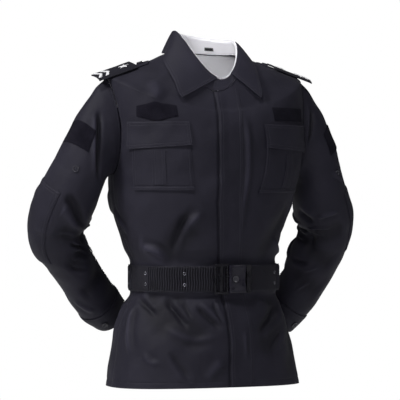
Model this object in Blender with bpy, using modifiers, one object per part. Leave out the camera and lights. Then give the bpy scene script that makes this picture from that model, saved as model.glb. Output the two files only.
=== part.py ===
"""A security guard's jacket and its belt, filled out as it is worn, with no wearer in it.

Metres, +Z up. The wearer faces -Y, so +X is the wearer's left side. The origin is the
middle of the neck seam, where the neck and shoulders hold the jacket up.
"""

import math
from collections import namedtuple

import bmesh
import bpy
import numpy as np
from mathutils import Matrix, Vector

# Cloth and seams
CLOTH = 0.002
SEAM_GAP = 0.0006
LIFT = 0.0009
PATCH_CLOTH = 0.0012

# The body of the jacket. A level is the height of a section at the side of the body.
Section = namedtuple("Section", "level half_width lean front back front_drop back_drop")
BODY = (
    Section(-0.726, 0.217, 0.002, 0.150, 0.160, -0.003, 0.000),
    Section(-0.665, 0.207, 0.002, 0.147, 0.158, -0.002, 0.000),
    Section(-0.605, 0.196, 0.000, 0.141, 0.150, 0.000, 0.000),
    Section(-0.555, 0.179, 0.000, 0.130, 0.136, 0.000, 0.000),
    Section(-0.522, 0.161, 0.002, 0.117, 0.115, 0.000, 0.000),
    Section(-0.490, 0.158, 0.004, 0.116, 0.114, 0.000, 0.000),
    Section(-0.460, 0.161, 0.002, 0.117, 0.115, 0.000, 0.000),
    Section(-0.425, 0.171, -0.003, 0.132, 0.128, 0.000, 0.000),
    Section(-0.380, 0.185, -0.005, 0.140, 0.136, 0.000, 0.000),
    Section(-0.330, 0.202, -0.004, 0.145, 0.141, 0.002, 0.000),
    Section(-0.280, 0.213, 0.003, 0.147, 0.144, 0.008, 0.002),
    Section(-0.230, 0.218, 0.007, 0.146, 0.146, 0.015, 0.006),
    Section(-0.170, 0.222, 0.008, 0.142, 0.146, 0.030, 0.016),
    Section(-0.110, 0.225, 0.006, 0.132, 0.140, 0.050, 0.030),
    Section(-0.056, 0.227, 0.003, 0.118, 0.124, 0.074, 0.045),
    Section(-0.040, 0.190, 0.002, 0.110, 0.106, 0.081, 0.030),
    Section(-0.020, 0.133, 0.001, 0.101, 0.084, 0.082, 0.012),
    Section(0.000, 0.080, 0.000, 0.092, 0.064, 0.084, -0.004),
)
HEM_LEVEL = BODY[0].level
NECK_LEVEL = BODY[-1].level
SQUARENESS = 2.25
FRONT = -90.0
FRONT_TURN = 6.0
BACK = 90.0

# The armholes, as half angles round the body from the side
ARMPIT_LEVEL = -0.264
TIP_LEVEL = -0.056
ARMHOLE_FRONT = 18.0
ARMHOLE_BACK = 33.0
ARMHOLE_ROWS = 10

# The sleeves, in left-side places: x is outwards. The wearer's hands are behind the back.
SleeveRing = namedtuple("SleeveRing", "x y z across depth")
SLEEVE_RIGHT = (
    SleeveRing(0.280, 0.012, -0.252, 0.059, 0.066),
    SleeveRing(0.300, 0.030, -0.306, 0.064, 0.068),
    SleeveRing(0.310, 0.054, -0.352, 0.066, 0.067),
    SleeveRing(0.308, 0.076, -0.400, 0.064, 0.064),
    SleeveRing(0.280, 0.096, -0.442, 0.053, 0.060),
    SleeveRing(0.245, 0.118, -0.485, 0.050, 0.054),
    SleeveRing(0.202, 0.146, -0.536, 0.050, 0.050),
    SleeveRing(0.152, 0.176, -0.578, 0.042, 0.044),
)
SLEEVE_LEFT = (
    SleeveRing(0.283, 0.020, -0.262, 0.054, 0.066),
    SleeveRing(0.300, 0.036, -0.316, 0.062, 0.068),
    SleeveRing(0.319, 0.056, -0.364, 0.065, 0.067),
    SleeveRing(0.323, 0.078, -0.410, 0.062, 0.064),
    SleeveRing(0.313, 0.098, -0.454, 0.059, 0.060),
    SleeveRing(0.298, 0.118, -0.502, 0.055, 0.055),
    SleeveRing(0.277, 0.140, -0.550, 0.050, 0.051),
    SleeveRing(0.248, 0.164, -0.596, 0.044, 0.046),
)
HEAD_SHARE = 0.26
HEAD_CLEAR = 0.0002
HEAD_WAY_TOP = np.array((1.0, 0.0, -0.9))
HEAD_WAY_UNDER = np.array((1.0, 0.0, -0.3))
CUFF_START = 0.905
CUFF_LIFT = 0.0026

# Folds are soft troughs (depth under 0) and ridges. The body's run from one angle and
# level to another, the sleeves' from one turn and share of the length to another.
Fold = namedtuple("Fold", "start end width depth")
BODY_FOLDS = (
    Fold((-152, -0.530), (-128, -0.600), 0.026, -0.006),
    Fold((-132, -0.530), (-106, -0.625), 0.026, -0.007),
    Fold((-40, -0.535), (-62, -0.650), 0.027, -0.007),
    Fold((-14, -0.560), (-42, -0.700), 0.027, -0.006),
    Fold((-112, -0.370), (-136, -0.450), 0.026, -0.006),
    Fold((-156, -0.410), (-134, -0.456), 0.022, 0.005),
    Fold((-30, -0.340), (-56, -0.445), 0.026, -0.006),
    Fold((150, -0.400), (122, -0.450), 0.026, -0.006),
    Fold((34, -0.380), (62, -0.448), 0.026, -0.006),
    Fold((118, -0.530), (104, -0.640), 0.028, -0.007),
    Fold((66, -0.530), (80, -0.650), 0.028, -0.007),
    Fold((92, -0.340), (90, -0.446), 0.028, -0.006),
)
BODY_RADIUS = 0.18
SLEEVE_FOLDS = (
    Fold((140, 0.55), (220, 0.55), 0.022, -0.014),
    Fold((80, 0.47), (160, 0.53), 0.022, -0.007),
    Fold((85, 0.64), (150, 0.60), 0.022, -0.006),
    Fold((200, 0.52), (275, 0.47), 0.022, -0.007),
    Fold((205, 0.60), (270, 0.64), 0.022, -0.006),
    Fold((80, 0.78), (160, 0.74), 0.022, -0.005),
    Fold((200, 0.78), (280, 0.75), 0.022, -0.005),
)
SLEEVE_RADIUS = 0.06

# Mesh lines across the panels
FRONT_COLUMNS = 10
BACK_COLUMNS = 18
SLEEVE_RINGS = 26

# Collar: the stand rises from the neck seam to the fold line, the fall comes down from it
COLLAR_CLOTH = 0.0022
COLLAR_COLUMNS = 28
FOLD_MIDDLE = 0.004
FOLD_HALF_WIDTH = 0.062
FOLD_FRONT = 0.080
FOLD_BACK = 0.055
FOLD_HEIGHT = 0.041
FOLD_DROP = 0.098
FOLD_TILT = 0.006
STAND_ENDS = (-89.0, 269.0)
FALL_ENDS = (-66.0, 265.0)
FALL_ROLL = 0.0035
EdgePlace = namedtuple("EdgePlace", "share angle level lift")
FALL_EDGE = (
    EdgePlace(0.00, -62, -0.040, 0.009),
    EdgePlace(0.15, -46, -0.022, 0.007),
    EdgePlace(0.32, -24, -0.006, 0.005),
    EdgePlace(0.50, 0, -0.001, 0.004),
    EdgePlace(0.75, 45, -0.004, 0.007),
    EdgePlace(1.00, 90, -0.007, 0.008),
)

# Front trim, as x and z seen from the front on the wearer's right side
PLACKET_RIGHT = -0.017
PLACKET_LEFT = 0.035
Trim = namedtuple("Trim", "top_out top_in bottom_in bottom_out")
POCKET = Trim((-0.194, -0.152), (-0.084, -0.152), (-0.074, -0.297), (-0.188, -0.297))
POCKET_FLAP = Trim((-0.198, -0.150), (-0.081, -0.150), (-0.078, -0.201), (-0.196, -0.209))
POCKET_PLEAT = Trim((-0.159, -0.212), (-0.133, -0.212), (-0.131, -0.286), (-0.157, -0.286))
POCKET_BAND = Trim((-0.188, -0.289), (-0.074, -0.289), (-0.073, -0.298), (-0.187, -0.298))
NAME_PATCH = Trim((-0.193, -0.114), (-0.112, -0.114), (-0.112, -0.142), (-0.193, -0.142))
LEFT_TRIM_RISE = -0.008
Profile = namedtuple("Profile", "x top bottom")
BADGE_PATCH = (
    Profile(-0.184, -0.117, -0.140),
    Profile(-0.172, -0.114, -0.143),
    Profile(-0.160, -0.111, -0.147),
    Profile(-0.152, -0.108, -0.149),
    Profile(-0.144, -0.108, -0.149),
    Profile(-0.136, -0.111, -0.147),
    Profile(-0.120, -0.113, -0.142),
    Profile(-0.103, -0.116, -0.139),
)

# Sleeve trim: patches as turns and mesh rings, buttons as a turn and a share of the length
SLEEVE_PATCH = ((0, 72), (4, 6))
ELBOW_PATCH = ((-72, 54), (10, 17))
SLEEVE_BUTTON = (62, 0.265)
CUFF_BUTTON = (75, 0.955)

# Shoulders: straps, stiff boards and their marks. x runs outwards along the shoulder.
STRAP_X = (0.128, 0.219)
STRAP_HALF = 0.021
BOARD_X = (0.162, 0.251)
BOARD_HALF = 0.027
STRAP_CLEAR = 0.0013
BOARD_CLEAR = 0.0042
BOARD_CLOTH = 0.003
BOARD_DOME = 0.0012
CHEVRON_SHARES = (0.62, 0.80)
CHEVRON_WIDTH = 0.0075
STAR_SHARE = 0.26
STAR_RADIUS = 0.012
STRAP_BUTTON_X = 0.148
MARK_CLOTH = 0.001
BUTTON_RADIUS = 0.0072
BUTTON_DEPTH = 0.0028
BUTTON_CLEAR = 0.0003
STRAP_BUTTON_CLEAR = 0.0004

# Belt and buckle
BELT_WIDTH = 0.057
BELT_CLOTH = 0.0036
BELT_LEVEL = -0.490
BELT_CLEAR = 0.0069
BELT_ENDS = (0.040, 0.012)
BUCKLE_GAP = 0.0005
FRAME_X = (-0.023, 0.0076)
FRAME_HEIGHT = 0.065
FRAME_DEPTH = 0.006
BODY_X = (0.0086, 0.0475)
BODY_HEIGHT = 0.060
BODY_DEPTH = 0.010
TONGUE_X = (0.0486, 0.0600)
BUTTON_X = 0.022

# Colours: base colour, roughness, metallic
FINISHES = {
    "cloth": ((0.022, 0.021, 0.030), 0.85, 0.0),
    "patch": ((0.013, 0.012, 0.018), 0.95, 0.0),
    "lining": ((0.78, 0.77, 0.82), 0.85, 0.0),
    "rank_white": ((0.85, 0.85, 0.87), 0.7, 0.0),
    "button": ((0.02, 0.02, 0.024), 0.35, 0.0),
    "webbing": ((0.016, 0.016, 0.019), 0.7, 0.0),
    "buckle": ((0.02, 0.02, 0.022), 0.3, 0.0),
    "label": ((0.01, 0.01, 0.012), 0.7, 0.0),
}


def clear_scene():
    for thing in list(bpy.data.objects):
        bpy.data.objects.remove(thing, do_unlink=True)


def finish(name):
    material = bpy.data.materials.get(name)
    if material is None:
        colour, roughness, metallic = FINISHES[name]
        material = bpy.data.materials.new(name)
        material.use_nodes = True
        shader = material.node_tree.nodes["Principled BSDF"]
        shader.inputs["Base Color"].default_value = (*colour, 1.0)
        shader.inputs["Roughness"].default_value = roughness
        shader.inputs["Metallic"].default_value = metallic
    return material


def smooth_step(share):
    share = np.clip(share, 0.0, 1.0)
    return share * share * (3.0 - 2.0 * share)


def unit(vectors):
    return vectors / np.linalg.norm(vectors, axis=-1, keepdims=True)


def monotone(knots, values, where):
    """A smooth curve through the values that never swings past them."""
    steps = np.diff(knots)
    slopes = np.diff(values) / steps
    tangents = np.zeros(len(values))
    same_way = slopes[:-1] * slopes[1:] > 0
    mean = 2 * slopes[:-1] * slopes[1:] / np.where(same_way, slopes[:-1] + slopes[1:], 1)
    tangents[1:-1] = np.where(same_way, mean, 0.0)
    tangents[0], tangents[-1] = slopes[0], slopes[-1]
    place = np.clip(np.searchsorted(knots, where) - 1, 0, len(steps) - 1)
    span = steps[place]
    t = (where - knots[place]) / span
    low, high = values[place], values[place + 1]
    return (
        (2 * t**3 - 3 * t**2 + 1) * low
        + (t**3 - 2 * t**2 + t) * span * tangents[place]
        + (3 * t**2 - 2 * t**3) * high
        + (t**3 - t**2) * span * tangents[place + 1]
    )


def fold_height(folds, across, along, across_scale, along_scale):
    """How far the folds push the cloth out, from its surface coordinates."""
    height = np.zeros(np.broadcast(across, along).shape)
    for fold in folds:
        a0, b0 = fold.start[0] * across_scale, fold.start[1] * along_scale
        a1, b1 = fold.end[0] * across_scale, fold.end[1] * along_scale
        a, b = across * across_scale - a0, along * along_scale - b0
        run = math.hypot(a1 - a0, b1 - b0)
        ta, tb = (a1 - a0) / run, (b1 - b0) / run
        share = (a * ta + b * tb) / run
        aside = (a * tb - b * ta) / fold.width
        fade = smooth_step(share / 0.25 + 0.5) * smooth_step((1 - share) / 0.35 + 0.5)
        height = height + fold.depth * fade * np.exp(-aside * aside)
    return height


# The body's surface
LEVELS = np.array([row.level for row in BODY])


def body_column(name, level):
    return monotone(LEVELS, np.array([getattr(row, name) for row in BODY]), level)


def bare_body(angle, level):
    """Points of the body's surface without folds. Angle 0 is the wearer's left side."""
    angle, level = np.broadcast_arrays(np.radians(angle), np.asarray(level, float))
    side, out = np.cos(angle), np.sin(angle)
    in_front = out < 0
    depth = np.where(in_front, body_column("front", level), body_column("back", level))
    drop = np.where(in_front, body_column("front_drop", level), body_column("back_drop", level))
    fuller = (np.abs(side) ** SQUARENESS + np.abs(out) ** SQUARENESS) ** (-1 / SQUARENESS)
    return np.stack(
        (
            body_column("lean", level) + body_column("half_width", level) * side * fuller,
            depth * out * fuller,
            level - drop * out * out,
        ),
        axis=-1,
    )


def body_normals(angle, level):
    turn, rise = 0.2, 0.0005
    level = np.clip(level, HEM_LEVEL + rise, NECK_LEVEL - rise)
    round_it = bare_body(angle + turn, level) - bare_body(angle - turn, level)
    up_it = bare_body(angle, level + rise) - bare_body(angle, level - rise)
    return unit(np.cross(round_it, up_it))


def body_points(angle, level, lift=0.0):
    """Points on the folded cloth of the body, moved out along its normals."""
    angle, level = np.broadcast_arrays(np.asarray(angle, float), np.asarray(level, float))
    scale = math.radians(1) * BODY_RADIUS
    height = fold_height(BODY_FOLDS, angle, level, scale, 1.0)
    return bare_body(angle, level) + body_normals(angle, level) * (height + lift)[..., None]


def armhole_angle(level, reach):
    """How far the armhole's edge lies from the side, in degrees."""
    middle, half = (TIP_LEVEL + ARMPIT_LEVEL) / 2, (TIP_LEVEL - ARMPIT_LEVEL) / 2
    share = (level - middle) / half
    return reach * np.sqrt(np.clip(1 - share * share, 0, 1))


def body_levels():
    """The heights of a panel's rows, closer together round the armhole."""
    low = np.linspace(HEM_LEVEL, ARMPIT_LEVEL, 18)
    turn = np.linspace(0, math.pi, ARMHOLE_ROWS + 1)
    middle, half = (TIP_LEVEL + ARMPIT_LEVEL) / 2, (TIP_LEVEL - ARMPIT_LEVEL) / 2
    arm = middle - half * np.cos(turn)
    high = np.linspace(TIP_LEVEL, NECK_LEVEL, 6)
    return np.concatenate((low, arm[1:-1], high))


# Objects
def link(thing, material_name):
    thing.data.materials.clear()
    thing.data.materials.append(finish(material_name))
    JACKET.objects.link(thing)
    return thing


def wall(name, outer, inner, material_name, closed_round=False):
    """One closed wall between two grids of points, rows by columns."""
    rows, columns = outer.shape[:2]
    points = np.concatenate((outer.reshape(-1, 3), inner.reshape(-1, 3)))
    across = columns if closed_round else columns - 1

    def at(layer, row, column):
        return layer * rows * columns + row * columns + column % columns

    faces = []
    for row in range(rows - 1):
        for column in range(across):
            corners = ((row, column), (row, column + 1), (row + 1, column + 1), (row + 1, column))
            faces.append([at(0, *corner) for corner in corners])
            faces.append([at(1, *corner) for corner in reversed(corners)])
    for row, step in ((0, 1), (rows - 1, 0)):
        for column in range(across):
            near, far = column + 1 - step, column + step
            faces.append([at(0, row, far), at(0, row, near), at(1, row, near), at(1, row, far)])
    if not closed_round:
        for column, step in ((0, 0), (columns - 1, 1)):
            for row in range(rows - 1):
                near, far = row + 1 - step, row + step
                faces.append(
                    [at(0, far, column), at(0, near, column), at(1, near, column), at(1, far, column)]
                )
    mesh = bpy.data.meshes.new(name)
    mesh.from_pydata([tuple(point) for point in points], [], faces)
    shape = bmesh.new()
    shape.from_mesh(mesh)
    if shape.calc_volume(signed=True) < 0:
        bmesh.ops.reverse_faces(shape, faces=shape.faces)
    shape.to_mesh(mesh)
    shape.free()
    mesh.shade_smooth()
    mesh.set_sharp_from_angle(angle=math.radians(50))
    return link(bpy.data.objects.new(name, mesh), material_name)


def body_panel(name, angle, level, material_name, lift=0.0, cloth=CLOTH):
    """A wall that follows the body's surface at these angles and levels."""
    return wall(
        name,
        body_points(angle, level, lift),
        body_points(angle, level, lift - cloth),
        material_name,
    )


def gap_angle(level):
    """The seam gap as an angle round the body."""
    return np.degrees(SEAM_GAP / 2 / body_column("half_width", level))


def mirrored(angle):
    """The same angle on the wearer's right side."""
    return -180.0 - angle


def front_line(level):
    """The closing line, which runs a little to the wearer's left below the belt."""
    return FRONT + FRONT_TURN * smooth_step((-0.44 - level) / 0.20)


def make_fronts_and_back():
    levels = body_levels()[:, None]
    share = np.linspace(0, 1, FRONT_COLUMNS + 1)[None, :]
    reach = armhole_angle(levels, ARMHOLE_FRONT) * share**2
    near, far = front_line(levels) + gap_angle(levels), -gap_angle(levels)
    body_panel("front_left", near + share * (far - near) - reach, levels, "cloth")
    near, far = front_line(levels) - gap_angle(levels), -180 + gap_angle(levels)
    body_panel("front_right", near + share * (far - near) + reach, levels, "cloth")
    share = np.linspace(-1, 1, BACK_COLUMNS + 1)[None, :]
    reach = armhole_angle(levels, ARMHOLE_BACK) * share**2 * np.sign(share)
    body_panel("back", BACK + share * (90 - gap_angle(levels)) - reach, levels, "cloth")


# The sleeves
class Sleeve:
    """One sleeve's surface: turn 0 is its outer side, 90 its front, 180 the underarm."""

    def __init__(self, rings, sign):
        self.sign = sign
        centres = np.array([(ring.x, ring.y, ring.z) for ring in rings])
        steps = np.linalg.norm(np.diff(centres, axis=0), axis=1)
        self.knots = np.concatenate(([0.0], np.cumsum(steps))) / steps.sum()
        self.length = steps.sum() / (1 - HEAD_SHARE)
        self.centres = centres
        self.across = np.array([ring.across for ring in rings])
        self.depth = np.array([ring.depth for ring in rings])
        self.share = np.linspace(0, 1, 201)
        path = self.centre(self.share)
        tangents = unit(np.gradient(path, axis=0))
        outer = np.array((1.0, 0.0, 0.3))
        self.outer = np.empty_like(tangents)
        for place, tangent in enumerate(tangents):
            outer = outer - tangent * (outer @ tangent)
            outer = outer / np.linalg.norm(outer)
            self.outer[place] = outer
        self.front = unit(np.cross(self.outer, tangents))
        if self.front[0][1] > 0:
            self.front = -self.front
        self.start_way = tangents[0]
        self.ring_turns = np.linspace(-180, 540, 721)
        self.ring = self.armhole(self.ring_turns)

    def edge(self, turn):
        return np.stack([np.interp(turn, self.ring_turns, self.ring[:, k]) for k in range(3)], -1)

    def centre(self, share):
        """The middle line, a smooth curve through the rings' middles."""
        place = np.clip(np.searchsorted(self.knots, share) - 1, 0, len(self.knots) - 2)
        tangents = np.gradient(self.centres, self.knots, axis=0)
        span = (self.knots[place + 1] - self.knots[place])[..., None]
        t = ((share - self.knots[place]) / span[..., 0])[..., None]
        return (
            (2 * t**3 - 3 * t**2 + 1) * self.centres[place]
            + (t**3 - 2 * t**2 + t) * span * tangents[place]
            + (3 * t**2 - 2 * t**3) * self.centres[place + 1]
            + (t**3 - t**2) * span * tangents[place + 1]
        )

    def frame_at(self, vectors, share):
        return np.stack([np.interp(share, self.share, vectors[:, k]) for k in range(3)], axis=-1)

    def tube(self, turn, share):
        """The round sleeve below its head."""
        turn = np.radians(turn)
        across = monotone(self.knots, self.across, share)
        depth = monotone(self.knots, self.depth, share)
        return (
            self.centre(share)
            + self.frame_at(self.outer, share) * (across * np.cos(turn))[..., None]
            + self.frame_at(self.front, share) * (depth * np.sin(turn))[..., None]
        )

    def armhole(self, turn):
        """The edge that the sleeve's head is sewn to, in left-side places."""
        middle, half = (TIP_LEVEL + ARMPIT_LEVEL) / 2, (TIP_LEVEL - ARMPIT_LEVEL) / 2
        level = middle + half * np.cos(np.radians(turn))
        forward = np.sin(np.radians(turn))
        angle = np.where(forward > 0, -ARMHOLE_FRONT, ARMHOLE_BACK) * np.abs(forward)
        angle = angle if self.sign > 0 else mirrored(angle)
        edge = bare_body(angle, level) * (self.sign, 1, 1)
        normal = body_normals(angle, level) * (self.sign, 1, 1)
        inwards = edge.mean(axis=tuple(range(edge.ndim - 1))) - edge
        inwards = unit(inwards - normal * (inwards * normal).sum(-1, keepdims=True))
        return edge + inwards * SEAM_GAP + normal * SEAM_GAP * 0.6 + (HEAD_CLEAR, 0, 0)

    def bare(self, turn, share):
        """The head runs from the armhole's edge into the tube, and the tube to the hand."""
        turn, share = np.broadcast_arrays(np.asarray(turn, float), np.asarray(share, float))
        along = (share - HEAD_SHARE) / (1 - HEAD_SHARE)
        tube = self.tube(turn, np.clip(along, 0, 1))
        start, end = self.edge(turn), self.tube(turn, np.zeros_like(share))
        reach = np.linalg.norm(end - start, axis=-1, keepdims=True)
        top = (0.5 + 0.5 * np.cos(np.radians(turn)))[..., None]
        way = unit(HEAD_WAY_TOP * top + HEAD_WAY_UNDER * (1 - top))
        t = np.clip(share / HEAD_SHARE, 0, 1)[..., None]
        head = (
            (2 * t**3 - 3 * t**2 + 1) * start
            + (t**3 - 2 * t**2 + t) * reach * way
            + (3 * t**2 - 2 * t**3) * end
            + (t**3 - t**2) * reach * self.start_way
        )
        return np.where(along[..., None] > 0, tube, head)

    def normals(self, turn, share):
        share = np.clip(share, 0.002, 0.998)
        round_it = self.bare(turn + 1.0, share) - self.bare(turn - 1.0, share)
        along_it = self.bare(turn, share + 0.002) - self.bare(turn, share - 0.002)
        return unit(np.cross(round_it, along_it))

    def points(self, turn, share, lift=0.0):
        turn, share = np.broadcast_arrays(np.asarray(turn, float), np.asarray(share, float))
        scale = math.radians(1) * SLEEVE_RADIUS
        height = fold_height(SLEEVE_FOLDS, turn, share, scale, self.length)
        height = height * smooth_step(share / 0.06) * smooth_step((CUFF_START - share) / 0.06)
        placed = self.bare(turn, share) + self.normals(turn, share) * (height + lift)[..., None]
        return placed * (self.sign, 1, 1)


def sleeve_wall(name, sleeve, turn, share, material_name, lift=0.0, cloth=CLOTH, closed=False):
    return wall(
        name,
        sleeve.points(turn, share, lift),
        sleeve.points(turn, share, lift - cloth),
        material_name,
        closed_round=closed,
    )


def make_sleeve(side, sleeve):
    turn = np.arange(2 * ARMHOLE_ROWS)[None, :] * 180.0 / ARMHOLE_ROWS
    share = np.linspace(0, CUFF_START, SLEEVE_RINGS + 1)[:, None]
    sleeve_wall(f"sleeve_{side}", sleeve, turn, share, "cloth", closed=True)
    cuff = np.linspace(CUFF_START + SEAM_GAP / sleeve.length, 1.0, 3)[:, None]
    sleeve_wall(f"cuff_{side}", sleeve, turn, cuff, "cloth", lift=CUFF_LIFT, closed=True)


# Trim on the fronts
def place_front(x, z):
    """The angle and level of a point that is seen from the front at x and z."""
    x, z = np.broadcast_arrays(np.asarray(x, float), np.asarray(z, float))
    level, angle = z + 0.02, np.full(x.shape, FRONT)
    for _ in range(12):
        across = np.clip((x - body_column("lean", level)) / body_column("half_width", level), -1, 1)
        depth = (1 - np.abs(across) ** SQUARENESS) ** (1 / SQUARENESS)
        angle = np.degrees(np.arctan2(-depth, across))
        level = z + body_column("front_drop", level) * np.sin(np.radians(angle)) ** 2
    return angle, level


def trim_grid(trim, rows, columns):
    down = np.linspace(0, 1, rows + 1)[:, None]
    over = np.linspace(0, 1, columns + 1)[None, :]
    corners = [np.array(corner) for corner in trim]
    sides = [
        (corners[0][k] * (1 - over) + corners[1][k] * over) * (1 - down)
        + (corners[3][k] * (1 - over) + corners[2][k] * over) * down
        for k in (0, 1)
    ]
    return place_front(*sides)


def trim_panel(name, side, trim, rows, columns, material_name, lift, cloth=PATCH_CLOTH):
    angle, level = trim_grid(trim, rows, columns)
    level = level if side == "right" else level + LEFT_TRIM_RISE
    angle = angle if side == "right" else mirrored(angle)
    return body_panel(name, angle, level, material_name, lift, cloth)


def make_placket():
    levels = body_levels()[2:-1, None]
    levels = np.concatenate(([[HEM_LEVEL + 0.004]], levels, [[NECK_LEVEL - 0.004]]))
    share = np.linspace(0, 1, 4)[None, :]
    x = PLACKET_RIGHT + share * (PLACKET_LEFT - PLACKET_RIGHT)
    angle = front_line(levels) + np.degrees(x / body_column("half_width", levels))
    body_panel("placket", angle, levels, "cloth", LIFT + PATCH_CLOTH, PATCH_CLOTH)


def make_pockets():
    low = LIFT + PATCH_CLOTH
    high = low + 0.0007 + PATCH_CLOTH
    for side in ("left", "right"):
        trim_panel(f"pocket_{side}", side, POCKET, 7, 9, "cloth", low)
        trim_panel(f"pocket_pleat_{side}", side, POCKET_PLEAT, 4, 3, "cloth", high)
        trim_panel(f"pocket_band_{side}", side, POCKET_BAND, 1, 9, "cloth", high)
        trim_panel(f"pocket_flap_{side}", side, POCKET_FLAP, 3, 9, "cloth", high + 0.0004)


def make_chest_patches():
    low = LIFT + PATCH_CLOTH
    x = np.array([place.x for place in BADGE_PATCH])[None, :]
    top = np.array([place.top for place in BADGE_PATCH])[None, :]
    bottom = np.array([place.bottom for place in BADGE_PATCH])[None, :]
    share = np.linspace(0, 1, 3)[:, None]
    angle, level = place_front(x + 0 * share, top + share * (bottom - top))
    body_panel("badge_patch", angle, level, "patch", low, PATCH_CLOTH)
    trim_panel("name_patch", "left", NAME_PATCH, 2, 6, "patch", low)


# Trim on the sleeves
def make_sleeve_trim(side, sleeve):
    low = LIFT + PATCH_CLOTH
    for name, place in (("sleeve_patch", SLEEVE_PATCH), ("elbow_patch", ELBOW_PATCH)):
        turn = np.arange(place[0][0], place[0][1] + 1, 180 / ARMHOLE_ROWS)[None, :]
        share = np.arange(place[1][0], place[1][1] + 1)[:, None] * CUFF_START / SLEEVE_RINGS
        material_name = "patch" if name == "sleeve_patch" else "cloth"
        sleeve_wall(f"{name}_{side}", sleeve, turn, share, material_name, low, PATCH_CLOTH)
    for name, place, lift in (
        ("sleeve_button", SLEEVE_BUTTON, 0.0),
        ("cuff_button", CUFF_BUTTON, CUFF_LIFT),
    ):
        normal = sleeve.normals(*[np.asarray(value, float) for value in place])
        point = sleeve.points(*place, lift)
        make_button(f"{name}_{side}", point, normal * (sleeve.sign, 1, 1))


def make_button(name, point, normal, clear=BUTTON_CLEAR):
    """A round button that stands just off the cloth."""
    bpy.ops.mesh.primitive_cylinder_add(vertices=16, radius=BUTTON_RADIUS, depth=BUTTON_DEPTH)
    button = bpy.context.object
    button.name = name
    rim = button.modifiers.new("rim", "BEVEL")
    rim.width = 0.0008
    rim.segments = 1
    bpy.ops.object.modifier_apply(modifier="rim")
    way = Vector(normal).to_track_quat("Z", "Y")
    button.matrix_world = Matrix.Translation(
        Vector(point) + Vector(normal) * (BUTTON_DEPTH / 2 + clear)
    ) @ way.to_matrix().to_4x4()
    return adopt(button, "button")


def adopt(thing, material_name):
    """Take a primitive into the jacket's collection."""
    for collection in list(thing.users_collection):
        collection.objects.unlink(thing)
    return link(thing, material_name)


# Shoulders
def top_height(x, y):
    """The height of the shoulder's top at x and y, in left-side places without lean."""
    low, high = np.full(np.shape(x + y), TIP_LEVEL), np.full(np.shape(x + y), NECK_LEVEL)
    for _ in range(30):
        level = (low + high) / 2
        depth = np.where(y > 0, body_column("back", level), body_column("front", level))
        across = np.abs(x) / body_column("half_width", level)
        reach = across**SQUARENESS + np.abs(y / depth) ** SQUARENESS
        low, high = np.where(reach > 1, low, level), np.where(reach > 1, level, high)
    out = np.sin(np.arctan2(y / depth, across))
    drop = np.where(y > 0, body_column("back_drop", level), body_column("front_drop", level))
    return level - drop * out * out


def shoulder_lean(side):
    return body_column("lean", np.array(-0.035)) * (1 if side == "left" else -1)


def make_strap(side):
    sign = 1 if side == "left" else -1
    x = np.linspace(*STRAP_X, 8)[None, :]
    y = np.linspace(-STRAP_HALF, STRAP_HALF, 4)[:, None]
    height = top_height(x, y) + STRAP_CLEAR
    x = x + shoulder_lean(side) + 0 * y
    lower = np.stack((x * sign, y + 0 * x, height), axis=-1)
    wall(f"shoulder_strap_{side}", lower + (0, 0, 0.002), lower, "cloth")


def board_surface(side, along, across):
    """The underside of the board: it follows the strap, then runs on straight."""
    sign = 1 if side == "left" else -1
    along, across = np.broadcast_arrays(np.asarray(along, float), np.asarray(across, float))
    x = BOARD_X[0] + along * (BOARD_X[1] - BOARD_X[0])
    bend = STRAP_X[1] - 0.008
    on = top_height(np.minimum(x, bend), 0 * x)
    near, far = (top_height(np.array(place), np.array(0.0)) for place in (bend - 0.02, bend))
    height = on + (far - near) / 0.02 * np.maximum(x - bend, 0) + BOARD_CLEAR
    dome = BOARD_DOME * (across / BOARD_HALF) ** 2
    return np.stack(((x + shoulder_lean(side)) * sign, across, height - dome), axis=-1)


def board_lifted(side, along, across, lift):
    step = 0.01
    run = board_surface(side, along + step, across) - board_surface(side, along - step, across)
    over = board_surface(side, along, across + 0.001) - board_surface(side, along, across - 0.001)
    normal = unit(np.cross(run, over)) * (1 if side == "left" else -1)
    return board_surface(side, along, across) + normal * lift


def board_wall(name, side, along, across, low, high, material_name):
    return wall(
        name,
        board_lifted(side, along, across, high),
        board_lifted(side, along, across, low),
        material_name,
    )


def make_board(side):
    along = np.linspace(0, 1, 9)[None, :]
    across = np.linspace(-BOARD_HALF, BOARD_HALF, 6)[:, None]
    board_wall(f"rank_board_{side}", side, along, across, 0.0, BOARD_CLOTH, "patch")
    top = BOARD_CLOTH + 0.0006
    length = BOARD_X[1] - BOARD_X[0]
    for number, share in enumerate(CHEVRON_SHARES, start=1):
        across = np.linspace(-0.020, 0.020, 7)[:, None]
        edge = np.array([[0.0, CHEVRON_WIDTH]]) / length
        along = share + np.abs(across) * 0.45 / length + edge
        name = f"chevron_{side}_{number}"
        board_wall(name, side, along, across, top, top + MARK_CLOTH, "rank_white")
    turn = np.radians(np.arange(11) * 36.0)[:, None]
    reach = np.where(np.arange(11) % 2 == 0, STAR_RADIUS, STAR_RADIUS * 0.42)[:, None]
    star(f"star_{side}", side, STAR_SHARE - reach * np.cos(turn) / length, reach * np.sin(turn), top)


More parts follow.
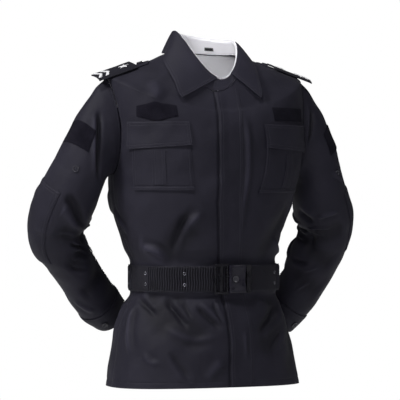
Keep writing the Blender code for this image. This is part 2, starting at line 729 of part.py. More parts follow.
def star(name, side, along, across, low):
    """A flat star on the board, from the points of its outline."""
    along, across = along[:10, 0], across[:10, 0]
    shape = bmesh.new()
    rings = []
    for lift in (low, low + MARK_CLOTH):
        middle = board_lifted(side, np.array(STAR_SHARE), np.array(0.0), lift)
        ring = [shape.verts.new(point) for point in board_lifted(side, along, across, lift)]
        centre = shape.verts.new(middle)
        for place, corner in enumerate(ring):
            shape.faces.new((centre, corner, ring[(place + 1) % 10]))
        rings.append(ring)
    for place in range(10):
        follow = (place + 1) % 10
        shape.faces.new((rings[0][place], rings[0][follow], rings[1][follow], rings[1][place]))
    bmesh.ops.recalc_face_normals(shape, faces=shape.faces)
    mesh = bpy.data.meshes.new(name)
    shape.to_mesh(mesh)
    shape.free()
    link(bpy.data.objects.new(name, mesh), "rank_white")


def make_shoulder(side):
    make_strap(side)
    make_board(side)
    sign = 1 if side == "left" else -1
    x = np.array(STRAP_BUTTON_X)
    height = top_height(x, np.array(0.0)) + STRAP_CLEAR + 0.002
    slope = (top_height(x + 0.004, np.array(0.0)) - height + STRAP_CLEAR + 0.002) / 0.004
    normal = unit(np.array((-slope * sign, 0.0, 1.0)))
    point = ((STRAP_BUTTON_X + shoulder_lean(side)) * sign, 0.0, float(height))
    make_button(f"strap_button_{side}", point, normal, STRAP_BUTTON_CLEAR)


# Collar
def neck_ring(turn, lift):
    """The neck seam. Turn is measured like the body's angle."""
    return body_points(turn, NECK_LEVEL, lift)


def fold_ring(turn):
    turn = np.radians(turn)
    side, out = np.cos(turn), np.sin(turn)
    depth = np.where(out < 0, FOLD_FRONT, FOLD_BACK)
    drop = np.where(out < 0, FOLD_DROP * np.abs(out) ** 2.4, 0.0) + FOLD_TILT * side
    across = FOLD_MIDDLE * (1 - np.abs(out)) + FOLD_HALF_WIDTH * side
    return np.stack((across, depth * out, FOLD_HEIGHT - drop), axis=-1)


def stand_surface(turn, share, inwards=0.0):
    """The stand's outer side, moved inwards towards the neck."""
    turn, share = np.broadcast_arrays(np.asarray(turn, float), np.asarray(share, float))
    low = neck_ring(turn, 0.0) + (0, 0, SEAM_GAP * 1.5)
    high = fold_ring(turn)
    side, out = np.cos(np.radians(turn)), np.sin(np.radians(turn))
    inner = np.stack((-side, -out, 0 * side), axis=-1)
    share = share[..., None]
    return low + (high - low) * share + inner * inwards


def fall_surface(column, share):
    """The collar's leaf. Column runs from -1 at the left tip to 1 at the right tip, and
    share from 0 at the fold line to 1 at the edge."""
    column, share = np.broadcast_arrays(np.asarray(column, float), np.asarray(share, float))
    ends = np.where(column < 0, FALL_ENDS[0], FALL_ENDS[1])
    turn = BACK + (ends - BACK) * np.abs(column)
    place = 1 - np.abs(column)
    shares = np.array([row.share for row in FALL_EDGE])
    angle = monotone(shares, np.array([row.angle for row in FALL_EDGE], float), place)
    level = monotone(shares, np.array([row.level for row in FALL_EDGE]), place)
    lift = monotone(shares, np.array([row.lift for row in FALL_EDGE]), place)
    angle = np.where(column < 0, angle, mirrored(angle))
    edge = bare_body(angle, level) + body_normals(angle, level) * lift[..., None]
    side, out = np.cos(np.radians(turn)), np.sin(np.radians(turn))
    away = np.stack((side, out, 0 * side), axis=-1)
    start = fold_ring(turn) + away * 0.001 + (0, 0, FALL_ROLL)
    bend = start + away * 0.012 + (0, 0, 0.003)
    share = share[..., None]
    return start * (1 - share) ** 2 + 2 * bend * share * (1 - share) + edge * share**2


def make_collar():
    turn = np.linspace(*STAND_ENDS, COLLAR_COLUMNS + 1)[None, :]
    share = np.linspace(0, 1, 3)[:, None]
    wall("collar_stand", stand_surface(turn, share), stand_surface(turn, share, COLLAR_CLOTH), "cloth")
    deep = COLLAR_CLOTH + 0.0012
    inner = 0.03 + share * 0.94
    wall(
        "collar_lining",
        stand_surface(turn, inner, deep),
        stand_surface(turn, inner, deep + 0.001),
        "lining",
    )
    deep = deep + 0.001 + 0.0010
    turn = np.linspace(52, 68, 3)[None, :]
    share = np.linspace(0.16, 0.42, 3)[:, None]
    outer, inner = (stand_surface(turn, share, depth) for depth in (deep, deep + 0.0008))
    wall("neck_label", outer, inner, "label")
    turn = np.degrees(np.linspace(PLACKET_RIGHT, PLACKET_LEFT, 4) / FOLD_FRONT)[None, :] + FRONT
    share = np.linspace(0.06, 0.94, 3)[:, None]
    low = -LIFT
    high = low - PATCH_CLOTH
    wall("collar_tab", stand_surface(turn, share, high), stand_surface(turn, share, low), "cloth")
    column = np.linspace(-1, 1, COLLAR_COLUMNS + 1)[None, :]
    share = np.array((0.0, 0.12, 0.35, 0.68, 1.0))[:, None]
    outer = fall_surface(column, share)
    normal = unit(np.cross(np.gradient(outer, axis=1), np.gradient(outer, axis=0)))
    if normal[0, COLLAR_COLUMNS // 2, 2] < 0:
        normal = -normal
    wall("collar_fall", outer, outer - normal * COLLAR_CLOTH, "cloth")
    share = np.linspace(-1, 1, BACK_COLUMNS + 1)[None, 2:-2]
    level = np.linspace(TIP_LEVEL, NECK_LEVEL, 6)[1:, None] - 0.0015
    body_panel("yoke_lining", BACK + share * 90, level, "lining", -(CLOTH + 0.0011), 0.001)


# Belt
def belt_surface(turn, height, lift):
    """Points round the belt. Height runs from -0.5 at its lower edge to 0.5."""
    turn, height = np.broadcast_arrays(np.radians(turn), np.asarray(height, float))
    side, out = np.cos(turn), np.sin(turn)
    middle = np.array(BELT_LEVEL)
    half = body_column("half_width", middle) + BELT_CLEAR + lift
    lean = body_column("lean", middle)
    depth = np.where(out < 0, body_column("front", middle), body_column("back", middle))
    fuller = (np.abs(side) ** SQUARENESS + np.abs(out) ** SQUARENESS) ** (-1 / SQUARENESS)
    around_it = (depth + BELT_CLEAR + lift) * out * fuller
    return np.stack((lean + half * side * fuller, around_it, BELT_LEVEL + height * BELT_WIDTH), axis=-1)


def belt_turn(x):
    half = body_column("half_width", np.array(BELT_LEVEL)) + BELT_CLEAR
    return FRONT + math.degrees(math.asin((x - body_column("lean", np.array(BELT_LEVEL))) / half))


def block(name, x, height, depth, material_name, bevel=0.0015, out=0.0):
    """A box that lies on the front of the belt between two places across it."""
    middle = sum(x) / 2
    start = belt_surface(belt_turn(middle), 0.0, BELT_CLOTH + BUCKLE_GAP)
    run = belt_surface(belt_turn(x[1]), 0.0, 0.0) - belt_surface(belt_turn(x[0]), 0.0, 0.0)
    turn = math.atan2(run[1], run[0])
    bpy.ops.mesh.primitive_cube_add(size=1.0)
    thing = bpy.context.object
    thing.name = name
    thing.scale = (x[1] - x[0], depth, height)
    bpy.ops.object.transform_apply(location=False, rotation=False, scale=True)
    if bevel:
        soft = thing.modifiers.new("soft", "BEVEL")
        soft.width = bevel
        soft.segments = 2
        bpy.ops.object.modifier_apply(modifier="soft")
    away = Vector((math.sin(turn), -math.cos(turn), 0.0))
    place = Vector(start) + away * (depth / 2 + out)
    thing.matrix_world = Matrix.Translation(place) @ Matrix.Rotation(turn, 4, "Z")
    return thing


def cut(thing, cutter):
    taken = thing.modifiers.new("cut", "BOOLEAN")
    taken.operation = "DIFFERENCE"
    taken.solver = "EXACT"
    taken.object = cutter
    bpy.context.view_layer.objects.active = thing
    bpy.ops.object.modifier_apply(modifier="cut")
    bpy.data.objects.remove(cutter, do_unlink=True)


def make_belt():
    start, end = belt_turn(BELT_ENDS[0]), belt_turn(BELT_ENDS[1]) + 360
    turn = np.linspace(start, end, 49)[None, :]
    height = np.linspace(-0.5, 0.5, 2)[:, None]
    wall("belt", belt_surface(turn, height, BELT_CLOTH), belt_surface(turn, height, 0.0), "webbing")
    frame = block("buckle_frame", FRAME_X, FRAME_HEIGHT, FRAME_DEPTH, "buckle")
    middle, width = sum(FRAME_X) / 2, FRAME_X[1] - FRAME_X[0]
    for slot in (-0.24, 0.24):
        x = middle + slot * width
        hole = (x - 0.16 * width, x + 0.16 * width)
        cut(frame, block("slot", hole, FRAME_HEIGHT - 0.010, 0.03, "buckle", bevel=0.0, out=-0.012))
    adopt(frame, "buckle")
    body = block("buckle_body", BODY_X, BODY_HEIGHT, BODY_DEPTH, "buckle", 0.002)
    adopt(body, "buckle")
    adopt(block("buckle_tongue", TONGUE_X, BODY_HEIGHT, 0.008, "buckle"), "buckle")
    normal = body.matrix_world.to_3x3() @ Vector((0.0, -1.0, 0.0))
    along = body.matrix_world.to_3x3() @ Vector((1.0, 0.0, 0.0))
    point = body.matrix_world.translation + normal * (BODY_DEPTH / 2)
    point = point + along * (BUTTON_X - sum(BODY_X) / 2)
    button = make_button("buckle_button", point, normal, STRAP_BUTTON_CLEAR)
    button.data.materials.clear()
    button.data.materials.append(finish("buckle"))


clear_scene()
JACKET = bpy.data.collections.new("guard_jacket")
bpy.context.scene.collection.children.link(JACKET)
make_fronts_and_back()
make_placket()
make_pockets()
make_chest_patches()
SLEEVES = {"left": Sleeve(SLEEVE_LEFT, 1), "right": Sleeve(SLEEVE_RIGHT, -1)}
for SIDE, SLEEVE in SLEEVES.items():
    make_sleeve(SIDE, SLEEVE)
    make_sleeve_trim(SIDE, SLEEVE)
    make_shoulder(SIDE)
make_collar()
make_belt()
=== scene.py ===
# %% [markdown]
# # A guard's jacket, worn by nobody
#
# The real thing is a navy twill work jacket with a webbing belt, filled out as if somebody
# stood in it with their hands behind their back. A frame of plain solids already has its
# size and pose. Here each solid gets its real skin: thin cloth with creases, seams and
# stitches, metal eyelets, a moulded buckle and sewn buttons.
#
# Everything is in metres with +Z up, and the wearer faces -Y, so +X is the wearer's left.

import math
from collections import namedtuple

import bmesh
import bpy
import numpy as np
from mathutils import Matrix, Vector


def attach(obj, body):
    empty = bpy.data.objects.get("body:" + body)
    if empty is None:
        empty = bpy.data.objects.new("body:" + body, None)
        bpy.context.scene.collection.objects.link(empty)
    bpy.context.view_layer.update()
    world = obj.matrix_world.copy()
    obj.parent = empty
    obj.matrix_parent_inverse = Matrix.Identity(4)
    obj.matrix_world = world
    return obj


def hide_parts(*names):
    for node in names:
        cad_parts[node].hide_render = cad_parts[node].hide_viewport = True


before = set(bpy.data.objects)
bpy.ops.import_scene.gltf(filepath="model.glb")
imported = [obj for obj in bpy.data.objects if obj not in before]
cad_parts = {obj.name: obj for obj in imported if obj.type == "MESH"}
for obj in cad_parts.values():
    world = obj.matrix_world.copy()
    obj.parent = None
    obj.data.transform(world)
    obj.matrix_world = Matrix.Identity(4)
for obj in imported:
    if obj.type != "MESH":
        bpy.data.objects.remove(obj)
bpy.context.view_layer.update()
print("frame nodes:", len(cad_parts))

# %% [markdown]
# ## Camera
#
# The jacket is seen almost level and a little from the wearer's right. A long lens from six
# metres keeps the far shoulder nearly as large as the near one, as a product photo does.

# %% Camera
AZIMUTH = math.radians(-22.0)
ELEVATION = math.radians(0.8)
DISTANCE = 6.2
FRAME_WIDTH = 0.88
SENSOR = 36.0
AIM_ACROSS, AIM_HEIGHT = -0.0045, -0.321
CLIP_END = 100.0
SIDEWAYS = Vector((math.cos(AZIMUTH), math.sin(AZIMUTH), 0.0))
NEARER = Vector((math.sin(AZIMUTH), -math.cos(AZIMUTH), 0.0))
UP = Vector((0.0, 0.0, 1.0))


def hang(name, data, target, way, distance):
    """A camera or lamp that looks at the target from that way and distance."""
    made = bpy.data.objects.new(name, data)
    made.location = target + way * distance
    made.rotation_mode = "QUATERNION"
    made.rotation_quaternion = (-way).to_track_quat("-Z", "Y")
    bpy.context.scene.collection.objects.link(made)
    return made


towards = NEARER * math.cos(ELEVATION) + UP * math.sin(ELEVATION)
aim = SIDEWAYS * AIM_ACROSS + UP * AIM_HEIGHT
camera = hang("camera", bpy.data.cameras.new("camera"), aim, towards, DISTANCE)
camera.data.sensor_width = SENSOR
camera.data.lens = SENSOR * DISTANCE / FRAME_WIDTH
camera.data.clip_end = CLIP_END
bpy.context.scene.camera = camera
print("lens", round(camera.data.lens, 1), "mm")

# %% [markdown]
# ## Floor and light
#
# Dark cloth shows its folds only when one side of each is brighter, so the sky gives very
# little light. The key lamp stands high on the camera's left, with one above, weak ones in
# front and on both sides, and one straight behind. A narrow lamp lights the white lining
# through the neck's opening. The backdrop that the camera sees is pure white, as in a cut-out
# product photo, and the floor glows for the camera alone. It lies where the wearer's feet
# would be, well below the hem.

# %% Floor and light
FLOOR_LEVEL = -1.45
FLOOR_RADIUS = 7.0
BACKDROP, SKY = (1.0, 1.0, 1.0), (0.06, 0.06, 0.066)



def start_shape(add, name, **sizes):
    """Add one of Blender's ready shapes, with nothing else selected."""
    bpy.ops.object.select_all(action="DESELECT")
    add(**sizes)
    bpy.context.object.name = name
    return bpy.context.object


floor = start_shape(
    bpy.ops.mesh.primitive_circle_add, "floor", vertices=96, radius=FLOOR_RADIUS,
    fill_type="NGON", location=(0, 0, FLOOR_LEVEL),
)

world = bpy.data.worlds.new("studio")
world.use_nodes = True
nodes, links = world.node_tree.nodes, world.node_tree.links
seen, lit = nodes["Background"], nodes.new("ShaderNodeBackground")
seen.inputs["Color"].default_value = (*BACKDROP, 1.0)
lit.inputs["Color"].default_value = (*SKY, 1.0)
path, choice = nodes.new("ShaderNodeLightPath"), nodes.new("ShaderNodeMixShader")
links.new(path.outputs["Is Camera Ray"], choice.inputs["Fac"])
links.new(lit.outputs[0], choice.inputs[1])
links.new(seen.outputs[0], choice.inputs[2])
links.new(choice.outputs[0], nodes["World Output"].inputs["Surface"])
bpy.context.scene.world = world
bpy.context.scene.view_settings.view_transform = "Standard"

LAMP_DISTANCE, LAMP_SIZE = 5.0, 0.9
Lamp = namedtuple("Lamp", "name right near up power")
LAMPS = (
    Lamp("key", -0.65, 0.40, 0.65, 145.0),
    Lamp("top", -0.15, 0.40, 0.90, 90.0),
    Lamp("front", -0.10, 0.98, 0.10, 32.0),
    Lamp("right fill", 0.75, 0.45, 0.35, 18.0),
    Lamp("left fill", -0.85, 0.50, 0.10, 12.0),
    Lamp("back", 0.00, -1.00, 0.05, 110.0),
)
NECK_LAMP = Lamp("neck", 0.00, 1.00, 0.12, 1100.0)
NECK_PLACE, NECK_CONE = Vector((0.034, 0.0, -0.008)), math.radians(1.9)
NECK_BLEND, NECK_SOFTNESS = 0.7, 0.1


def hang_lamp(lamp, kind, target):
    """A lamp that looks at the target, placed round it by the camera's own directions."""
    light = bpy.data.lights.new(lamp.name, kind)
    light.energy = lamp.power
    way = (SIDEWAYS * lamp.right + NEARER * lamp.near + UP * lamp.up).normalized()
    hang(lamp.name, light, target, way, LAMP_DISTANCE)
    return light


for lamp in LAMPS:
    hang_lamp(lamp, "AREA", aim).size = LAMP_SIZE
neck_light = hang_lamp(NECK_LAMP, "SPOT", NECK_PLACE)
neck_light.spot_size, neck_light.spot_blend = NECK_CONE, NECK_BLEND
neck_light.shadow_soft_size = NECK_SOFTNESS
print("floor and lamps are set")

# %% [markdown]
# ## A short hand for shader nodes
#
# A material is a small tree of nodes. These helpers add a node, set or link its inputs, and
# do sums, so that the recipes further down read like recipes.

# %% Node helpers
def node(tree, kind, feeds=None, **settings):
    """A shader node with its settings, and its inputs set or linked."""
    made = tree.nodes.new("ShaderNode" + kind)
    for key, value in settings.items():
        setattr(made, key, value)
    for key, value in (feeds or {}).items():
        if isinstance(value, bpy.types.NodeSocket):
            tree.links.new(value, made.inputs[key])
        else:
            made.inputs[key].default_value = value
    return made


def sums(tree, operation, *values):
    return node(tree, "Math", dict(enumerate(values)), operation=operation).outputs[0]


def spread(tree, value, low, high):
    """0 below low and 1 above high, with a soft step between them."""
    feeds = {"Value": value, "From Min": low, "From Max": high}
    return node(tree, "MapRange", feeds, interpolation_type="SMOOTHSTEP").outputs["Result"]


def blend(tree, share, first, second):
    mixed = node(tree, "Mix", data_type="RGBA")
    for place, value in (("Factor_Float", share), ("A_Color", first), ("B_Color", second)):
        socket = next(s for s in mixed.inputs if s.identifier == place)
        if isinstance(value, bpy.types.NodeSocket):
            tree.links.new(value, socket)
        else:
            socket.default_value = value if place == "Factor_Float" else (*value, 1.0)
    return next(s for s in mixed.outputs if s.identifier == "Result_Color")


def new_group(name, takes, gives):
    """An empty node group with its sockets, and its input node's outputs by name."""
    group = bpy.data.node_groups.new(name, "ShaderNodeTree")
    for label, kind, value in takes:
        socket = group.interface.new_socket(label, in_out="INPUT", socket_type="NodeSocket" + kind)
        if value is not None:
            socket.default_value = value
    for label in gives:
        group.interface.new_socket(label, in_out="OUTPUT", socket_type="NodeSocketFloat")
    taken = group.nodes.new("NodeGroupInput")
    given = group.nodes.new("NodeGroupOutput")
    return group, taken.outputs, given.inputs


def use_group(tree, name, feeds):
    return node(tree, "Group", feeds, node_tree=bpy.data.node_groups[name]).outputs


# %% [markdown]
# ## Effects that several finishes share
#
# Twill is woven so that its threads step sideways in each row, which leaves fine diagonal
# ribs. Stitches are dashes at a set distance from an edge. The cloth is a little paler where
# edges rub, and it is never quite the same colour all over.

# %% Weave, stitch, wear and shade groups
STITCH_LENGTH, STITCH_DASH = 0.0033, 0.72


def make_groups():
    tree, took, gave = new_group(
        "twill weave", [("Across", "Float", 0.0), ("Along", "Float", 0.0), ("Pitch", "Float", 0.0012)],
        ["Height", "Tint"],
    )
    slant = sums(tree, "ADD", took["Across"], sums(tree, "MULTIPLY", took["Along"], 0.58))
    turns = sums(tree, "MULTIPLY", sums(tree, "DIVIDE", slant, took["Pitch"]), 2 * math.pi)
    rib = sums(tree, "MULTIPLY_ADD", sums(tree, "SINE", turns), 0.5, 0.5)
    thread = sums(tree, "MULTIPLY", sums(tree, "DIVIDE", took["Along"], took["Pitch"]), 4 * math.pi)
    cross = sums(tree, "MULTIPLY_ADD", sums(tree, "SINE", thread), 0.5, 0.5)
    height = sums(tree, "MULTIPLY_ADD", cross, 0.25, sums(tree, "MULTIPLY", rib, 0.75))
    tree.links.new(height, gave["Height"])
    tree.links.new(rib, gave["Tint"])

    tree, took, gave = new_group(
        "stitch row",
        [("Distance", "Float", 1.0), ("Run", "Float", 0.0), ("Offset", "Float", 0.0015)],
        ["Thread", "Groove"],
    )
    away = sums(tree, "ABSOLUTE", sums(tree, "SUBTRACT", took["Distance"], took["Offset"]))
    beat = sums(tree, "FRACT", sums(tree, "DIVIDE", took["Run"], STITCH_LENGTH))
    dash = sums(tree, "LESS_THAN", beat, STITCH_DASH)
    line = sums(tree, "SUBTRACT", 1.0, spread(tree, away, 0.0002, 0.0006))
    groove = sums(tree, "SUBTRACT", 1.0, spread(tree, away, 0.0003, 0.0016))
    tree.links.new(sums(tree, "MULTIPLY", line, dash), gave["Thread"])
    tree.links.new(groove, gave["Groove"])

    tree, took, gave = new_group(
        "edge wear", [("Distance", "Float", 1.0), ("Place", "Vector", None), ("Width", "Float", 0.0012)],
        ["Wear"],
    )
    near = sums(tree, "SUBTRACT", 1.0, sums(tree, "DIVIDE", took["Distance"], took["Width"]))
    patchy = node(tree, "TexNoise", {"Vector": took["Place"], "Scale": 90.0, "Detail": 3.0})
    worn = sums(tree, "MULTIPLY", near, spread(tree, patchy.outputs["Fac"], 0.35, 0.75))
    tree.links.new(sums(tree, "MAXIMUM", worn, 0.0), gave["Wear"])

    tree, took, gave = new_group(
        "uneven shade", [("Place", "Vector", None), ("Scale", "Float", 12.0)], ["Shade", "Crumple"]
    )
    broad = node(tree, "TexNoise", {"Vector": took["Place"], "Scale": took["Scale"], "Detail": 4.0})
    fine_scale = sums(tree, "MULTIPLY", took["Scale"], 3.4)
    fine = node(tree, "TexNoise", {"Vector": took["Place"], "Scale": fine_scale, "Detail": 2.0})
    tree.links.new(spread(tree, broad.outputs["Fac"], 0.3, 0.7), gave["Shade"])
    tree.links.new(fine.outputs["Fac"], gave["Crumple"])


make_groups()
print("node groups:", [group.name for group in bpy.data.node_groups])

# %% [markdown]
# ## Finishes
#
# Each finish keeps its own Principled shader. The cloth reads its own weave coordinates, in
# metres, from the piece's UV map, and how far a point is from the piece's edges from three
# numbers stored on the mesh. That is why one recipe can sew every pocket and flap.

# %% Finishes
def start_material(name, roughness, sheen=0.0, sheen_roughness=0.5, specular=0.5):
    material = bpy.data.materials.new(name)
    material.use_nodes = True
    shader = material.node_tree.nodes["Principled BSDF"]
    shader.inputs["Roughness"].default_value = roughness
    shader.inputs["Sheen Weight"].default_value = sheen
    shader.inputs["Sheen Roughness"].default_value = sheen_roughness
    shader.inputs["Specular IOR Level"].default_value = specular
    return material, material.node_tree, shader


def stored(tree, name):
    return node(tree, "Attribute", attribute_name=name, attribute_type="GEOMETRY").outputs["Fac"]


def dress(tree, shader, colour, rough, bump):
    """Link a colour, a roughness and a Bump node with these inputs to the shader."""
    normal = node(tree, "Bump", bump).outputs["Normal"]
    for socket, value in (("Base Color", colour), ("Roughness", rough), ("Normal", normal)):
        tree.links.new(value, shader.inputs[socket])


FOLD_REACH = 0.006


def cloth_finish(name, dark, light, thread, pitch, rows, sheen, roughness=0.62, crumple=0.3):
    """Woven cloth with stitches at the given distances from its edges."""
    material, tree, shader = start_material(name, roughness, sheen, specular=0.20)
    place = node(tree, "TexCoord").outputs["Object"]
    flat = node(tree, "SeparateXYZ", {"Vector": node(tree, "UVMap", uv_map="weave").outputs["UV"]})
    across, along = flat.outputs["X"], flat.outputs["Y"]
    side, end, hem = (stored(tree, key) for key in ("from_side", "from_end", "from_hem"))
    weave = use_group(tree, "twill weave", {"Across": across, "Along": along, "Pitch": pitch})
    shade = use_group(tree, "uneven shade", {"Place": place, "Scale": 11.0})
    colour = blend(tree, shade["Shade"], dark, light)
    tint = sums(tree, "MULTIPLY", weave["Tint"], 0.22)
    colour = blend(tree, tint, colour, light)
    # Painted shade and painted highlight: the colour darkens in the folds' hollows and lightens on their
    # ridges, by the fold height stored on the mesh.
    fold = stored(tree, "fold")
    hollow = sums(tree, "MULTIPLY", spread(tree, fold, -FOLD_REACH, 0.0), -0.55)
    colour = blend(tree, sums(tree, "ADD", hollow, 0.55), colour, tuple(0.35 * c for c in dark))
    ridge = sums(tree, "MULTIPLY", spread(tree, fold, 0.0, FOLD_REACH), 0.5)
    colour = blend(tree, ridge, colour, tuple(1.9 * c for c in light))
    threads, grooves = [], []
    for distance, run, offsets in ((side, along, rows), (end, across, rows), (hem, across, (0.0,))):
        for offset in offsets:
            made = use_group(tree, "stitch row", {"Distance": distance, "Run": run, "Offset": offset})
            threads.append(made["Thread"])
            grooves.append(made["Groove"])
    while len(threads) > 1:
        threads.append(sums(tree, "MAXIMUM", threads.pop(0), threads.pop(0)))
        grooves.append(sums(tree, "MAXIMUM", grooves.pop(0), grooves.pop(0)))
    edge = sums(tree, "MINIMUM", side, end)
    wear = use_group(tree, "edge wear", {"Distance": edge, "Place": place})["Wear"]
    colour = blend(tree, sums(tree, "MULTIPLY", wear, 0.5), colour, tuple(2.2 * c for c in light))
    # Painted shade: the colour is darker along the stitch grooves.
    colour = blend(tree, sums(tree, "MULTIPLY", grooves[0], 0.35), colour, tuple(0.5 * c for c in dark))
    colour = blend(tree, threads[0], colour, thread)
    rough = sums(tree, "MULTIPLY_ADD", shade["Shade"], 0.08, roughness - 0.04)
    soft = node(tree, "Bump", {"Height": shade["Crumple"], "Strength": crumple, "Distance": 0.004})
    sewn = sums(tree, "SUBTRACT", sums(tree, "MULTIPLY", threads[0], 0.6), grooves[0])
    height = sums(tree, "MULTIPLY_ADD", weave["Height"], 0.25, sewn)
    bump = {"Height": height, "Strength": 0.55, "Distance": 0.0008, "Normal": soft.outputs["Normal"]}
    dress(tree, shader, colour, rough, bump)
    return material


NAVY_DARK, NAVY_LIGHT = (0.0115, 0.0106, 0.0190), (0.0185, 0.0172, 0.0285)
NAVY_THREAD = (0.034, 0.032, 0.048)
TWILL = cloth_finish(
    "navy twill", NAVY_DARK, NAVY_LIGHT, NAVY_THREAD, 0.0012, (0.0018, 0.0078), 0.03
)
LINING = cloth_finish(
    "white lining", (0.80, 0.79, 0.84), (0.88, 0.87, 0.91), (0.6, 0.6, 0.63), 0.0008, (0.0020,), 0.1,
    roughness=0.8, crumple=0.2,
)
LABEL = cloth_finish(
    "woven label", (0.010, 0.010, 0.012), (0.016, 0.016, 0.018), (0.25, 0.25, 0.26), 0.0006,
    (0.0012,), 0.05, crumple=0.05,
)
BRAID = cloth_finish(
    "white braid", (0.78, 0.78, 0.80), (0.88, 0.88, 0.90), (0.6, 0.6, 0.62), 0.0016, (0.0006,), 0.1,
    crumple=0.05,
)
BOARD_CLOTH_FINISH = cloth_finish(
    "black board cloth", (0.0080, 0.0074, 0.0125), (0.0125, 0.0117, 0.0185), (0.03, 0.03, 0.038), 0.0011,
    (0.0020,), 0.02, roughness=0.9, crumple=0.05,
)


def pile_finish(name, dark, light, loop):
    """Short loop pile: thousands of tiny curls, matt and a little furry at a glance."""
    material, tree, shader = start_material(name, 0.95, 0.012, 0.6, 0.06)
    place = node(tree, "TexCoord").outputs["Object"]
    curls = node(tree, "TexVoronoi", {"Vector": place, "Scale": 1.0 / loop, "Randomness": 1.0})
    shade = use_group(tree, "uneven shade", {"Place": place, "Scale": 40.0})
    mixed = sums(tree, "MULTIPLY", shade["Shade"], curls.outputs["Distance"])
    feeds = {"Distance": stored(tree, "from_side"), "Place": place, "Width": 0.002}
    rough = sums(tree, "MULTIPLY_ADD", use_group(tree, "edge wear", feeds)["Wear"], -0.1, 0.96)
    bump = {"Height": curls.outputs["Distance"], "Strength": 0.6, "Distance": 0.0012}
    dress(tree, shader, blend(tree, mixed, dark, light), rough, bump)
    return material


PILE = pile_finish("black loop pile", (0.0070, 0.0064, 0.0110), (0.0150, 0.0138, 0.0215), 0.0014)


def webbing_finish(name, dark, light):
    """Close woven strap: coarse cross ribs are in the mesh, the fine threads are here."""
    material, tree, shader = start_material(name, 0.72, 0.03, 0.4, 0.2)
    place = node(tree, "TexCoord").outputs["Object"]
    flat = node(tree, "SeparateXYZ", {"Vector": node(tree, "UVMap", uv_map="weave").outputs["UV"]})
    feeds = {"Across": flat.outputs["X"], "Along": flat.outputs["Y"], "Pitch": 0.0009}
    weave = use_group(tree, "twill weave", feeds)
    shade = use_group(tree, "uneven shade", {"Place": place, "Scale": 20.0})
    feeds = {"Distance": stored(tree, "from_end"), "Place": place, "Width": 0.002}
    wear = use_group(tree, "edge wear", feeds)["Wear"]
    colour = blend(tree, shade["Shade"], dark, light)
    # Painted shade: the colour darkens in the troughs between the ribs, by the rib height stored as fold.
    rib = spread(tree, stored(tree, "fold"), -0.001, 0.001)
    colour = blend(tree, rib, tuple(0.4 * c for c in dark), colour)
    colour = blend(tree, sums(tree, "MULTIPLY", wear, 0.6), colour, tuple(2.5 * c for c in light))
    rough = sums(tree, "MULTIPLY_ADD", shade["Shade"], 0.1, 0.50)
    bump = {"Height": weave["Height"], "Strength": 0.5, "Distance": 0.0004}
    dress(tree, shader, colour, rough, bump)
    return material


WEBBING = webbing_finish("black webbing", (0.0125, 0.0115, 0.0185), (0.0200, 0.0190, 0.0290))


def moulded_finish(name, colour, roughness, grain, metallic=0.0):
    """Moulded or painted hard parts: a fine grain, and faint rubbed patches."""
    material, tree, shader = start_material(name, roughness, specular=0.35)
    shader.inputs["Metallic"].default_value = metallic
    place = node(tree, "TexCoord").outputs["Object"]
    speck = node(tree, "TexNoise", {"Vector": place, "Scale": grain, "Detail": 3.0})
    shade = use_group(tree, "uneven shade", {"Place": place, "Scale": 60.0})
    pale = tuple(1.6 * c + 0.004 for c in colour)
    mixed = blend(tree, sums(tree, "MULTIPLY", shade["Shade"], 0.5), colour, pale)
    rough = sums(tree, "MULTIPLY_ADD", shade["Shade"], 0.16, roughness - 0.08)
    bump = {"Height": speck.outputs["Fac"], "Strength": 0.25, "Distance": 0.0003}
    dress(tree, shader, mixed, rough, bump)
    return material


BUCKLE_PLASTIC = moulded_finish("buckle plastic", (0.0080, 0.0075, 0.0105), 0.30, 900.0)
CLASP_PLASTIC = moulded_finish("clasp plastic", (0.013, 0.012, 0.019), 0.30, 900.0)
RELEASE_PLASTIC = moulded_finish("release button plastic", (0.045, 0.044, 0.052), 0.18, 300.0)
BUTTON_PLASTIC = moulded_finish("button plastic", (0.034, 0.033, 0.042), 0.18, 500.0)
EYELET_METAL = moulded_finish("blacked metal", (0.20, 0.20, 0.23), 0.28, 700.0, metallic=1.0)
# Painted shadow: a near-black finish for the face that closes each eyelet's hole.
EYELET_HOLE_SHADOW = moulded_finish("eyelet hole", (0.002, 0.002, 0.0025), 0.9, 700.0)
STAR_ENAMEL = moulded_finish("white enamel", (0.80, 0.80, 0.82), 0.32, 300.0)
FLOOR_PALE, FLOOR_GLOW = (0.80, 0.80, 0.81, 1.0), 0.62
floor_paint, floor_tree, floor_shader = start_material("studio floor", 0.9, specular=0.1)
floor_shader.inputs["Base Color"].default_value = FLOOR_PALE
floor_shader.inputs["Emission Color"].default_value = FLOOR_PALE
seen_only = sums(floor_tree, "MULTIPLY", node(floor_tree, "LightPath").outputs["Is Camera Ray"], FLOOR_GLOW)
floor_tree.links.new(seen_only, floor_shader.inputs["Emission Strength"])
floor.data.materials.append(floor_paint)
print("finishes:", len(bpy.data.materials))

# %% [markdown]
# ## The body's surface
#
# The frame's body is a stack of rounded sections, so a point on it is an angle round the
# body and a level. The same table is used here, because cloth that is made from the frame's
# own sections fits it everywhere, also where the camera never looks.

